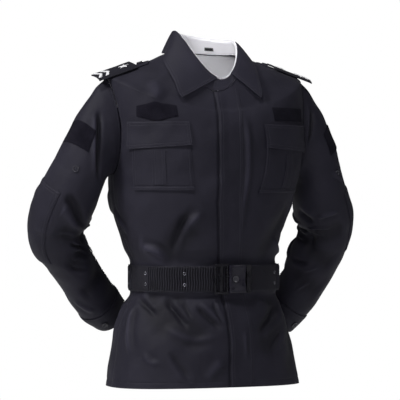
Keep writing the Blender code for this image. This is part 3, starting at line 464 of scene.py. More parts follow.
# %% Body sections
Section = namedtuple("Section", "level half_width lean front back front_drop back_drop")
BODY = (
    Section(-0.726, 0.217, 0.002, 0.150, 0.160, -0.003, 0.000),
    Section(-0.665, 0.207, 0.002, 0.147, 0.158, -0.002, 0.000),
    Section(-0.605, 0.196, 0.000, 0.141, 0.150, 0.000, 0.000),
    Section(-0.555, 0.179, 0.000, 0.130, 0.136, 0.000, 0.000),
    Section(-0.522, 0.161, 0.002, 0.117, 0.115, 0.000, 0.000),
    Section(-0.490, 0.158, 0.004, 0.116, 0.114, 0.000, 0.000),
    Section(-0.460, 0.161, 0.002, 0.117, 0.115, 0.000, 0.000),
    Section(-0.425, 0.171, -0.003, 0.132, 0.128, 0.000, 0.000),
    Section(-0.380, 0.185, -0.005, 0.140, 0.136, 0.000, 0.000),
    Section(-0.330, 0.202, -0.004, 0.145, 0.141, 0.002, 0.000),
    Section(-0.280, 0.213, 0.003, 0.147, 0.144, 0.008, 0.002),
    Section(-0.230, 0.218, 0.007, 0.146, 0.146, 0.015, 0.006),
    Section(-0.170, 0.222, 0.008, 0.142, 0.146, 0.030, 0.016),
    Section(-0.110, 0.225, 0.006, 0.132, 0.140, 0.050, 0.030),
    Section(-0.056, 0.227, 0.003, 0.118, 0.124, 0.074, 0.045),
    Section(-0.040, 0.190, 0.002, 0.110, 0.106, 0.081, 0.030),
    Section(-0.020, 0.133, 0.001, 0.101, 0.084, 0.082, 0.012),
    Section(0.000, 0.080, 0.000, 0.092, 0.064, 0.084, -0.004),
)
LEVELS = np.array([row.level for row in BODY])
HEM_LEVEL, NECK_LEVEL = LEVELS[0], LEVELS[-1]
SQUARENESS = 2.25
FRONT, BACK = -90.0, 90.0
FRONT_TURN = 6.0
ARMPIT_LEVEL, TIP_LEVEL = -0.264, -0.056
ARMHOLE_MIDDLE, ARMHOLE_HALF = (TIP_LEVEL + ARMPIT_LEVEL) / 2, (TIP_LEVEL - ARMPIT_LEVEL) / 2
ARMHOLE_FRONT, ARMHOLE_BACK = 18.0, 33.0
SEAM_GAP, PANEL_GAP = 0.0006, 0.00012
BODY_RADIUS, SLEEVE_RADIUS = 0.18, 0.06
BODY_SCALE, SLEEVE_SCALE = math.radians(BODY_RADIUS), math.radians(SLEEVE_RADIUS)


def smooth_step(share):
    share = np.clip(share, 0.0, 1.0)
    return share * share * (3.0 - 2.0 * share)


def unit(vectors):
    return vectors / np.linalg.norm(vectors, axis=-1, keepdims=True)


def hermite(t, start, start_way, end, end_way):
    """From start to end as t goes from 0 to 1, leaving and arriving in the given ways."""
    return (
        (2 * t**3 - 3 * t**2 + 1) * start
        + (t**3 - 2 * t**2 + t) * start_way
        + (3 * t**2 - 2 * t**3) * end
        + (t**3 - t**2) * end_way
    )


def bowed(share, start, bend, end):
    """From start to end as share goes from 0 to 1, pulled towards the bend on the way."""
    return start * (1 - share) ** 2 + 2 * bend * share * (1 - share) + end * share**2


def monotone(knots, values, where):
    """A smooth curve through the values that never swings past them."""
    steps = np.diff(knots)
    slopes = np.diff(values) / steps
    tangents = np.zeros(len(values))
    same_way = slopes[:-1] * slopes[1:] > 0
    mean = 2 * slopes[:-1] * slopes[1:] / np.where(same_way, slopes[:-1] + slopes[1:], 1)
    tangents[1:-1] = np.where(same_way, mean, 0.0)
    tangents[0], tangents[-1] = slopes[0], slopes[-1]
    place = np.clip(np.searchsorted(knots, where) - 1, 0, len(steps) - 1)
    span = steps[place]
    t = (where - knots[place]) / span
    ways = span * tangents[place], span * tangents[place + 1]
    return hermite(t, values[place], ways[0], values[place + 1], ways[1])


def body_column(name, level):
    return monotone(LEVELS, np.array([getattr(row, name) for row in BODY]), level)


def of_side(in_front, name, level):
    """A measure of the body's front or back, such as its depth or how far it drops."""
    return np.where(in_front, body_column("front" + name, level), body_column("back" + name, level))


def fullness(side, out):
    """How much further a section reaches than an oval at the same turn."""
    return (np.abs(side) ** SQUARENESS + np.abs(out) ** SQUARENESS) ** (-1 / SQUARENESS)


def bare_body(angle, level):
    """Points of the body's surface without folds. Angle 0 is the wearer's left side."""
    angle, level = np.broadcast_arrays(np.radians(angle), np.asarray(level, float))
    side, out = np.cos(angle), np.sin(angle)
    depth, drop = (of_side(out < 0, name, level) for name in ("", "_drop"))
    fuller = fullness(side, out)
    across = body_column("lean", level) + body_column("half_width", level) * side * fuller
    return np.stack((across, depth * out * fuller, level - drop * out * out), axis=-1)


def body_normals(angle, level):
    turn, rise = 0.2, 0.0005
    level = np.clip(level, HEM_LEVEL + rise, NECK_LEVEL - rise)
    round_it = bare_body(angle + turn, level) - bare_body(angle - turn, level)
    up_it = bare_body(angle, level + rise) - bare_body(angle, level - rise)
    return unit(np.cross(round_it, up_it))


print("body sections:", len(BODY))

# %% [markdown]
# ## Folds and creases
#
# Worn cloth gathers where it is pulled in, and droops where there is too much of it. A broad
# fold is a soft trough along a line. A crease is sharper: a ridge that runs on a curved line
# with a shallow trough beside it, and dies out at both ends. Each was placed from the
# photograph, and the hidden sides have others of the same kind.

# %% Fold maths
Fold = namedtuple("Fold", "start end width depth")
Crease = namedtuple("Crease", "start bend end width height")


def fold_height(folds, across, along, across_scale, along_scale):
    """How far the broad folds push the cloth out."""
    height = np.zeros(np.broadcast(across, along).shape)
    for fold in folds:
        a0, b0 = fold.start[0] * across_scale, fold.start[1] * along_scale
        a1, b1 = fold.end[0] * across_scale, fold.end[1] * along_scale
        a, b = across * across_scale - a0, along * along_scale - b0
        run = math.hypot(a1 - a0, b1 - b0)
        ta, tb = (a1 - a0) / run, (b1 - b0) / run
        share = (a * ta + b * tb) / run
        aside = (a * tb - b * ta) / fold.width
        fade = smooth_step(share / 0.25 + 0.5) * smooth_step((1 - share) / 0.35 + 0.5)
        height = height + fold.depth * fade * np.exp(-aside * aside)
    return height


CREASE_STEPS = 14


def crease_height(creases, across, along, across_scale, along_scale):
    """How far the creases push the cloth out. Only points near a crease are looked at."""
    across, along = np.broadcast_arrays(across * across_scale, along * along_scale)
    height = np.zeros(across.shape)
    share = np.linspace(0, 1, CREASE_STEPS + 1)[:, None]
    for crease in creases:
        scale = np.array((across_scale, along_scale))
        start, bend, end = (np.array(place) * scale for place in crease[:3])
        line = bowed(share, start, bend, end)
        low, high = line.min(0) - 4 * crease.width, line.max(0) + 4 * crease.width
        near = (across > low[0]) & (across < high[0]) & (along > low[1]) & (along < high[1])
        if not near.any():
            continue
        points = np.stack((across[near], along[near]), axis=-1)
        best = np.full(len(points), 1e9)
        side, place = np.zeros(len(points)), np.zeros(len(points))
        for step in range(CREASE_STEPS):
            run = line[step + 1] - line[step]
            off = points - line[step]
            t = np.clip((off @ run) / (run @ run), 0, 1)
            away = off - t[:, None] * run
            distance = np.hypot(away[:, 0], away[:, 1])
            turn = np.sign(run[0] * off[:, 1] - run[1] * off[:, 0])
            nearer = distance < best
            best = np.where(nearer, distance, best)
            side = np.where(nearer, turn, side)
            place = np.where(nearer, (step + t) / CREASE_STEPS, place)
        fade = smooth_step(place / 0.3) * smooth_step((1 - place) / 0.35)
        aside = best * side / crease.width
        ridge = np.exp(-aside * aside) - 0.45 * np.exp(-(((aside - 1.7) / 1.2) ** 2))
        height[near] += crease.height * fade * ridge
    return height


def folded(folds, creases, turn, along, across_scale, along_scale):
    """Folds and creases together, on a surface that closes on itself after a full turn."""
    height = fold_height(folds, turn, along, across_scale, along_scale)
    for shift in (-360, 0, 360):
        height = height + crease_height(creases, turn + shift, along, across_scale, along_scale)
    return height


def drift(points):
    """Slow, uneven waves a fraction of a millimetre high, so that no cloth is quite even."""
    waves = (
        (61, 23, 47, 0.3, 0.00045), (-38, 71, 55, 1.9, 0.00040), (90, -44, -62, 4.1, 0.00030),
        (27, 95, -88, 2.6, 0.00030), (120, 60, 96, 5.2, 0.00018), (-75, 130, 115, 0.9, 0.00016),
    )
    return sum(
        high * np.sin(points[..., 0] * x + points[..., 1] * y + points[..., 2] * z + start)
        for x, y, z, start, high in waves
    )


print("fold and crease maths are ready")

# %% Body folds
BODY_FOLDS = (
    Fold((-152, -0.530), (-128, -0.600), 0.026, -0.006),
    Fold((-132, -0.530), (-106, -0.625), 0.026, -0.007),
    Fold((-40, -0.535), (-62, -0.650), 0.027, -0.007),
    Fold((-14, -0.560), (-42, -0.700), 0.027, -0.006),
    Fold((-112, -0.370), (-136, -0.450), 0.026, -0.006),
    Fold((-156, -0.410), (-134, -0.456), 0.022, 0.005),
    Fold((-30, -0.340), (-56, -0.445), 0.026, -0.006),
    Fold((150, -0.400), (122, -0.450), 0.026, -0.006),
    Fold((34, -0.380), (62, -0.448), 0.026, -0.006),
    Fold((118, -0.530), (104, -0.640), 0.028, -0.007),
    Fold((66, -0.530), (80, -0.650), 0.028, -0.007),
    Fold((92, -0.340), (90, -0.446), 0.028, -0.006),
)
BODY_CREASES = (
    Crease((-168, -0.531), (-147, -0.546), (-138, -0.572), 0.0055, -0.0065),
    Crease((-136, -0.530), (-122, -0.561), (-114, -0.600), 0.006, -0.008),
    Crease((-121, -0.534), (-116, -0.554), (-113, -0.577), 0.004, -0.003),
    Crease((-111, -0.544), (-102, -0.573), (-91, -0.602), 0.006, -0.0075),
    Crease((-98, -0.536), (-97, -0.565), (-90, -0.593), 0.004, -0.004),
    Crease((-94, -0.612), (-115, -0.637), (-133, -0.581), 0.008, 0.0045),
    Crease((-112, -0.714), (-120, -0.672), (-127, -0.642), 0.007, -0.0045),
    Crease((-92, -0.666), (-100, -0.684), (-104, -0.713), 0.010, 0.004),
    Crease((-166, -0.544), (-165, -0.595), (-154, -0.669), 0.009, 0.006),
    Crease((-145, -0.642), (-140, -0.682), (-131, -0.666), 0.006, 0.003),
    Crease((-177, -0.539), (-183, -0.570), (-186, -0.604), 0.007, -0.006),
    Crease((-30, -0.545), (-58, -0.581), (-68, -0.612), 0.009, -0.009),
    Crease((-40, -0.603), (-52, -0.624), (-60, -0.652), 0.006, -0.0045),
    Crease((-77, -0.601), (-78, -0.629), (-78, -0.672), 0.004, 0.0025),
    Crease((-155, -0.426), (-140, -0.415), (-134, -0.452), 0.007, 0.0075),
    Crease((-118, -0.397), (-113, -0.365), (-104, -0.341), 0.008, 0.006),
    Crease((-113, -0.342), (-121, -0.379), (-132, -0.451), 0.007, -0.006),
    Crease((-186, -0.338), (-176, -0.366), (-168, -0.397), 0.007, 0.0045),
    Crease((-78, -0.054), (-80, -0.250), (-76, -0.427), 0.006, 0.004),
    Crease((-147, -0.032), (-133, -0.037), (-125, -0.061), 0.008, 0.0045),
    Crease((-20, -0.300), (-12, -0.350), (-10, -0.420), 0.008, 0.006),
    Crease((-42, -0.400), (-30, -0.435), (-14, -0.440), 0.006, 0.006),
    Crease((20, -0.440), (32, -0.400), (38, -0.350), 0.008, -0.006),
    Crease((40, -0.455), (55, -0.430), (66, -0.375), 0.008, 0.006),
    Crease((72, -0.458), (80, -0.425), (82, -0.370), 0.007, 0.005),
    Crease((96, -0.456), (94, -0.420), (101, -0.362), 0.007, -0.005),
    Crease((118, -0.457), (108, -0.425), (104, -0.385), 0.008, 0.006),
    Crease((142, -0.455), (130, -0.425), (118, -0.380), 0.008, 0.0065),
    Crease((160, -0.440), (150, -0.400), (146, -0.340), 0.008, -0.006),
    Crease((5, -0.530), (8, -0.580), (16, -0.630), 0.008, -0.0075),
    Crease((25, -0.530), (33, -0.570), (42, -0.610), 0.008, -0.0075),
    Crease((50, -0.530), (58, -0.570), (70, -0.615), 0.007, -0.0065),
    Crease((74, -0.532), (80, -0.565), (84, -0.610), 0.006, -0.0065),
    Crease((95, -0.530), (94, -0.580), (98, -0.625), 0.007, -0.006),
    Crease((112, -0.532), (106, -0.570), (99, -0.600), 0.005, -0.0045),
    Crease((128, -0.530), (120, -0.570), (108, -0.615), 0.007, -0.0075),
    Crease((150, -0.530), (143, -0.565), (134, -0.600), 0.007, -0.006),
    Crease((168, -0.535), (164, -0.580), (158, -0.630), 0.008, -0.0075),
    Crease((60, -0.620), (58, -0.660), (62, -0.710), 0.010, 0.0045),
    Crease((120, -0.610), (124, -0.660), (119, -0.710), 0.010, 0.0045),
    Crease((88, -0.640), (92, -0.670), (88, -0.715), 0.009, 0.003),
    Crease((48, -0.130), (60, -0.200), (56, -0.300), 0.010, 0.0075),
    Crease((132, -0.130), (120, -0.200), (124, -0.300), 0.010, 0.0075),
    Crease((70, -0.180), (88, -0.200), (108, -0.185), 0.009, 0.004),
    Crease((64, -0.270), (90, -0.295), (114, -0.275), 0.010, 0.0045),
    Crease((10, -0.300), (20, -0.340), (34, -0.360), 0.008, 0.0045),
    Crease((172, -0.290), (160, -0.335), (146, -0.360), 0.008, 0.0045),
)
BELT_LEVEL = -0.490
BELT_PRESS = 0.0038


PLACKET_RIGHT, PLACKET_LEFT = -0.017, 0.035
PlacketShift = namedtuple("PlacketShift", "level across")
PLACKET_SHIFTS = (
    PlacketShift(-0.74, 0.000),
    PlacketShift(-0.68, 0.001),
    PlacketShift(-0.62, 0.006),
    PlacketShift(-0.56, 0.010),
    PlacketShift(-0.50, 0.010),
    PlacketShift(-0.42, 0.008),
    PlacketShift(-0.36, 0.006),
    PlacketShift(-0.30, -0.001),
    PlacketShift(-0.25, -0.006),
    PlacketShift(-0.20, -0.007),
    PlacketShift(-0.16, -0.006),
    PlacketShift(-0.12, -0.002),
    PlacketShift(-0.08, 0.003),
    PlacketShift(-0.05, 0.008),
    PlacketShift(-0.02, 0.010),
)


def placket_shift(level):
    """How far the placket lies to the wearer's left of the closing line, so that it hangs straight."""
    levels, across = (np.array(values) for values in zip(*PLACKET_SHIFTS))
    return np.interp(level, levels, across)


def body_fold(angle, level):
    """How far the folds push the body's cloth out, with none under the belt."""
    height = folded(BODY_FOLDS, BODY_CREASES, angle, level, BODY_SCALE, 1.0)
    return height * (1 - np.exp(-(((level - BELT_LEVEL) / 0.030) ** 4)))


def body_points(angle, level, lift=0.0):
    """Points on the folded cloth of the body, moved out along its normals."""
    angle, level = np.broadcast_arrays(np.asarray(angle, float), np.asarray(level, float))
    bare = bare_body(angle, level)
    height = body_fold(angle, level) + drift(bare)
    height = height + BELT_PRESS * np.exp(-(((level - BELT_LEVEL) / 0.034) ** 6))
    return bare + body_normals(angle, level) * (height + lift)[..., None]


def mirrored(angle):
    """The same angle on the wearer's right side."""
    return -180.0 - angle


def front_line(level):
    """The closing line, which runs a little to the wearer's left below the belt."""
    return FRONT + FRONT_TURN * smooth_step((-0.44 - level) / 0.20)


def armhole_angle(level, reach):
    share = (level - ARMHOLE_MIDDLE) / ARMHOLE_HALF
    return reach * np.sqrt(np.clip(1 - share * share, 0, 1))


def gap_angle(level):
    return np.degrees(PANEL_GAP / 2 / body_column("half_width", level))


print("body folds:", len(BODY_FOLDS), "creases:", len(BODY_CREASES))

# %% [markdown]
# ## From a grid of points to cloth
#
# Cloth is a thin shell, so one function takes a grid of points on its outer side and makes
# the piece. It stores the weave's coordinates in metres and each point's distance from the
# edges. Then Solidify gives the shell its thickness on the inside. The sheet's flat size is
# measured along the grid, as a tailor would measure the pattern piece.

# %% Cloth maker
CLOTH = 0.0013
TURN_IN = 0.004
FAR = 1.0
JACKET = bpy.data.collections.new("jacket")
bpy.context.scene.collection.children.link(JACKET)


def keep(piece, node_names):
    """Hand a finished piece to the frame: it rides on the root, and the nodes that it stands for are
    hidden.
    """
    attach(piece, "root")
    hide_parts(*node_names)
    return piece


def only(piece):
    """Make one piece the selected and active one."""
    bpy.ops.object.select_all(action="DESELECT")
    piece.select_set(True)
    bpy.context.view_layer.objects.active = piece


def apply_all(piece):
    only(piece)
    for modifier in list(piece.modifiers):
        bpy.ops.object.modifier_apply(modifier=modifier.name)


def lengths(grid, axis):
    """How far each point is along its row or column, in metres."""
    steps = np.linalg.norm(np.diff(grid, axis=axis), axis=-1)
    start = np.zeros_like(steps.take([0], axis=axis))
    return np.concatenate((start, np.cumsum(steps, axis=axis)), axis=axis)


def grid_mesh(name, grid, away, marks):
    """A one-layer mesh from rows and columns of points, facing the way that away points."""
    rows, columns = grid.shape[:2]
    facing = np.cross(grid[1:, :-1] - grid[:-1, :-1], grid[:-1, 1:] - grid[:-1, :-1])
    flip = (facing * away[:-1, :-1]).sum() > 0
    index = np.arange(rows * columns).reshape(rows, columns)
    corners = (index[:-1, :-1], index[:-1, 1:], index[1:, 1:], index[1:, :-1])
    faces = np.stack([c.ravel() for c in (reversed(corners) if flip else corners)], axis=-1)
    mesh = bpy.data.meshes.new(name)
    mesh.from_pydata(grid.reshape(-1, 3).tolist(), [], faces.tolist())
    weave = mesh.uv_layers.new(name="weave")
    uv = np.stack((marks.pop("across").ravel(), marks.pop("along").ravel()), axis=-1)
    weave.data.foreach_set("uv", uv[faces.ravel()].astype(np.float32).ravel())
    for key, values in marks.items():
        made = mesh.attributes.new(key, "FLOAT", "POINT")
        made.data.foreach_set("value", values.astype(np.float32).ravel())
    return mesh


def cloth(name, grid, away, finish, thick=CLOTH, sew="se", hem=None, fold=0.0):
    """One shell of cloth. sew says which edges are stitched: s for sides, e for ends. hem is the
    distance from one more row of stitches across the cloth, and fold is how far the folds push
    it out, which the finish turns into painted shade in the hollows and painted highlight on the ridges."""
    across, along = lengths(grid, 1), lengths(grid, 0)
    across_flat, along_flat = across[:, -1:], along[-1:, :]
    none = np.full(grid.shape[:2], FAR)
    marks = {
        "across": across - across_flat / 2,
        "along": along,
        "from_side": np.minimum(across, across_flat - across) if "s" in sew else none,
        "from_end": np.minimum(along, along_flat - along) if "e" in sew else none,
        "from_hem": none if hem is None else hem + 0 * none,
        "fold": fold + 0 * none,
    }
    mesh = grid_mesh(name, grid, away, marks)
    shape = bmesh.new()
    shape.from_mesh(mesh)
    bmesh.ops.remove_doubles(shape, verts=shape.verts, dist=1e-6)
    shape.to_mesh(mesh)
    shape.free()
    mesh.materials.append(finish)
    piece = bpy.data.objects.new(name, mesh)
    JACKET.objects.link(piece)
    shell = piece.modifiers.new("cloth", "SOLIDIFY")
    shell.thickness = thick
    shell.offset = -1.0
    shell.use_even_offset = False
    shell.use_quality_normals = True
    apply_all(piece)
    mesh = piece.data
    mesh.shade_smooth()
    mesh.set_sharp_from_angle(angle=math.radians(60))
    a = grid[1:, :-1] - grid[:-1, :-1]
    b = grid[:-1, 1:] - grid[:-1, :-1]
    area = float(np.linalg.norm(np.cross(a, b), axis=-1).sum())
    flat = (float(across_flat.max()), float(along_flat.max()))
    return piece, flat, area


def sewn(name, grid, away, finish=TWILL, slot="cloth", held="hung", rests_on=("collar_stand",),
         stands_for=None, **how):
    """Make a piece of cloth, hand it to the frame, and say what sheet it was cut from. It stands
    for the node of the same name without the last word, unless stands_for names another."""
    piece, flat, area = cloth(name, grid, away, finish, **how)
    keep(piece, [stands_for or name.rsplit("_", 1)[0]])
    flat = tuple(max(math.ceil(side * 1000) / 1000, 0.01) for side in flat)
    print(f"{name}: cut {flat[0] * 1000:.0f} x {flat[1] * 1000:.0f} mm, {len(piece.data.polygons)} faces")
    return piece


def bordered(values, sides, ends, extra=0.0):
    """The grid with its edge columns or rows doubled, for cloth that is turned in there."""
    pad = ((1 if "b" in ends else 0, 1 if "t" in ends else 0),
           (1 if "l" in sides else 0, 1 if "r" in sides else 0))
    return np.pad(values, pad, mode="edge") + np.pad(0 * values, pad, constant_values=extra)


def on_body(name, angle, level, finish=TWILL, slot="cloth", lift=0.0, sides="lr", ends="bt",
            held="hung", rests_on=("collar_stand",), turn_in=TURN_IN, hollow=0.0, **how):
    """Cloth that follows the body's surface, with its edges turned in towards the body. hollow
    is a dip that is not one of the body's own folds."""
    angle, level = np.broadcast_arrays(np.asarray(angle, float), np.asarray(level, float))
    lift = np.broadcast_to(np.asarray(lift, float), angle.shape)
    angle, level = bordered(angle, sides, ends), bordered(level, sides, ends)
    hollow = bordered(hollow + np.zeros(lift.shape), sides, ends)
    lift = bordered(lift, sides, ends, -turn_in) + hollow
    grid = body_points(angle, level, lift)
    # The fold heights and the dip drive the finish's painted shade in hollows and painted highlight on
    # ridges.
    return sewn(name, grid, body_normals(angle, level), finish, slot, held, rests_on,
                fold=body_fold(angle, level) + hollow, **how)


# %% [markdown]
# ## Back and fronts
#
# The body is three panels: one back and two fronts. Their grids bend round the armholes, so
# that the edges of the mesh are the edges of the pattern pieces. A dip of just under a
# millimetre along each seam, and the edge turned in, make the seams read as seams.

# %% Body panels
LOW_ROWS, ARM_ROWS, HIGH_ROWS = 176, 56, 18
FRONT_COLUMNS, BACK_COLUMNS = 110, 180
SEAM_DIP, SEAM_WIDTH = 0.0008, 0.004
HEM_STITCH = 0.0135
GROOVE_DEPTH, GROOVE_WIDTH = 0.0030, 0.0030


def body_levels():
    low = np.linspace(HEM_LEVEL, ARMPIT_LEVEL, LOW_ROWS)
    arm = ARMHOLE_MIDDLE - ARMHOLE_HALF * np.cos(np.linspace(0, math.pi, ARM_ROWS + 1))
    high = np.linspace(TIP_LEVEL, NECK_LEVEL, HIGH_ROWS)
    return np.concatenate((low, arm[1:-1], high))


def seam_dips(angle, level, edges):
    """A shallow dip along the given edge columns and above the hem's stitches."""
    bare = bare_body(angle, level)
    across = lengths(bare, 1)
    dip = np.zeros(angle.shape)
    if "l" in edges:
        dip = dip + np.exp(-((across / SEAM_WIDTH) ** 2))
    if "r" in edges:
        dip = dip + np.exp(-(((across[:, -1:] - across) / SEAM_WIDTH) ** 2))
    hem = np.exp(-(((level - HEM_LEVEL - HEM_STITCH) / 0.003) ** 2))
    return -SEAM_DIP * dip - 0.0006 * hem


def hem_distance(level):
    return bordered(np.abs(level - HEM_LEVEL - HEM_STITCH), "lr", "bt")


def placket_groove(angle, level):
    """The cloth sinks a little beside the placket's free edge, and the dip is painted darker as well, which
    makes a dark line there.
    """
    across = np.radians(angle - front_line(level)) * body_column("half_width", level)
    away = across - PLACKET_RIGHT - placket_shift(level) + 0.0022
    return -GROOVE_DEPTH * np.exp(-((away / GROOVE_WIDTH) ** 2))


levels = body_levels()[:, None]
share = np.linspace(0, 1, FRONT_COLUMNS + 1)[None, :]
for side, sign, side_seam in (("left", 1, 0.0), ("right", -1, -180.0)):
    reach = armhole_angle(levels, ARMHOLE_FRONT) * share**2
    near, gap = front_line(levels), sign * gap_angle(levels)
    angle = near + gap + share * (side_seam - near - 2 * gap) - sign * reach
    level = levels + 0 * share
    on_body(
        f"front_{side}_panel", angle, level, sew="s", lift=seam_dips(angle, level, "r"),
        hem=hem_distance(level), hollow=placket_groove(angle, level),
    )

share = np.linspace(-1, 1, BACK_COLUMNS + 1)[None, :]
reach = armhole_angle(levels, ARMHOLE_BACK) * share**2 * np.sign(share)
angle = BACK + share * (90 - gap_angle(levels)) - reach
level = levels + 0 * share
on_body(
    "back_panel", angle, level, sew="s", lift=seam_dips(angle, level, "lr"), hem=hem_distance(level)
)

# %% [markdown]
# ## Sleeves and cuffs
#
# A sleeve is a tube round a smooth middle line. Its head is sewn into the armhole, so the
# first rows run from the armhole's edge into the tube. The cloth stacks up in short creases
# inside the bend of the elbow, and hangs in longer ones down the forearm.

# %% Sleeve shape
SleeveRing = namedtuple("SleeveRing", "x y z across depth")
SLEEVE_RIGHT = (
    SleeveRing(0.280, 0.012, -0.252, 0.059, 0.066),
    SleeveRing(0.300, 0.030, -0.306, 0.064, 0.068),
    SleeveRing(0.310, 0.054, -0.352, 0.066, 0.067),
    SleeveRing(0.308, 0.076, -0.400, 0.064, 0.064),
    SleeveRing(0.280, 0.096, -0.442, 0.053, 0.060),
    SleeveRing(0.245, 0.118, -0.485, 0.050, 0.054),
    SleeveRing(0.202, 0.146, -0.536, 0.050, 0.050),
    SleeveRing(0.152, 0.176, -0.578, 0.042, 0.044),
)
SLEEVE_LEFT = (
    SleeveRing(0.283, 0.020, -0.262, 0.054, 0.066),
    SleeveRing(0.300, 0.036, -0.316, 0.062, 0.068),
    SleeveRing(0.319, 0.056, -0.364, 0.065, 0.067),
    SleeveRing(0.323, 0.078, -0.410, 0.062, 0.064),
    SleeveRing(0.313, 0.098, -0.454, 0.059, 0.060),
    SleeveRing(0.298, 0.118, -0.502, 0.055, 0.055),
    SleeveRing(0.277, 0.140, -0.550, 0.050, 0.051),
    SleeveRing(0.248, 0.164, -0.596, 0.044, 0.046),
)
HEAD_SHARE, HEAD_CLEAR = 0.26, 0.0002
HEAD_WAY_TOP, HEAD_WAY_UNDER = np.array((1.0, 0.0, -0.9)), np.array((1.0, 0.0, -0.3))
CUFF_START, CUFF_LIFT = 0.905, 0.0026
SLEEVE_FOLDS = (
    Fold((140, 0.55), (220, 0.55), 0.022, -0.014),
    Fold((80, 0.47), (160, 0.53), 0.022, -0.007),
    Fold((85, 0.64), (150, 0.60), 0.022, -0.006),
    Fold((200, 0.52), (275, 0.47), 0.022, -0.007),
    Fold((205, 0.60), (270, 0.64), 0.022, -0.006),
    Fold((80, 0.78), (160, 0.74), 0.022, -0.005),
    Fold((200, 0.78), (280, 0.75), 0.022, -0.005),
)
ALL_ROUND = (
    Crease((150, 0.500), (190, 0.530), (235, 0.500), 0.006, -0.008),
    Crease((160, 0.570), (200, 0.585), (240, 0.560), 0.005, 0.005),
    Crease((165, 0.460), (205, 0.450), (240, 0.430), 0.006, 0.005),
    Crease((200, 0.300), (225, 0.360), (250, 0.450), 0.008, 0.005),
    Crease((230, 0.620), (215, 0.680), (190, 0.720), 0.006, 0.004),
    Crease((250, 0.700), (235, 0.760), (205, 0.800), 0.006, -0.004),
    Crease((-60, 0.360), (-30, 0.400), (0, 0.420), 0.007, 0.002),
    Crease((270, 0.100), (260, 0.200), (235, 0.280), 0.009, -0.0065),
    Crease((200, 0.840), (250, 0.860), (300, 0.840), 0.005, 0.0035),
)
SLEEVE_CREASES = {
    "right": ALL_ROUND + (
        Crease((62, 0.362), (88, 0.334), (150, 0.490), 0.009, -0.0115),
        Crease((152, 0.626), (120, 0.557), (104, 0.524), 0.0035, -0.007),
        Crease((79, 0.496), (93, 0.465), (127, 0.510), 0.005, 0.0045),
        Crease((114, 0.576), (126, 0.580), (156, 0.656), 0.0035, 0.0035),
        Crease((90, 0.636), (94, 0.655), (128, 0.686), 0.004, -0.0035),
        Crease((100, 0.610), (111, 0.606), (143, 0.674), 0.005, 0.0025),
        Crease((40, 0.800), (60, 0.835), (84, 0.890), 0.008, 0.004),
        Crease((42, 0.066), (78, 0.083), (126, 0.280), 0.006, -0.0105),
        Crease((23, 0.492), (62, 0.497), (76, 0.490), 0.006, 0.002),
    ),
    "left": ALL_ROUND + (
        Crease((80, 0.402), (110, 0.393), (131, 0.404), 0.004, 0.006),
        Crease((104, 0.476), (133, 0.438), (160, 0.480), 0.004, 0.005),
        Crease((116, 0.514), (133, 0.489), (147, 0.508), 0.003, 0.0025),
        Crease((82, 0.228), (62, 0.254), (38, 0.320), 0.004, 0.0035),
        Crease((173, 0.376), (153, 0.410), (133, 0.420), 0.007, -0.0065),
        Crease((114, 0.036), (64, 0.052), (45, 0.036), 0.005, -0.009),
        Crease((108, 0.666), (125, 0.701), (142, 0.732), 0.004, 0.0025),
        Crease((108, 0.756), (123, 0.778), (136, 0.824), 0.004, 0.0025),
        Crease((136, 0.668), (147, 0.699), (181, 0.686), 0.006, -0.004),
    ),
}


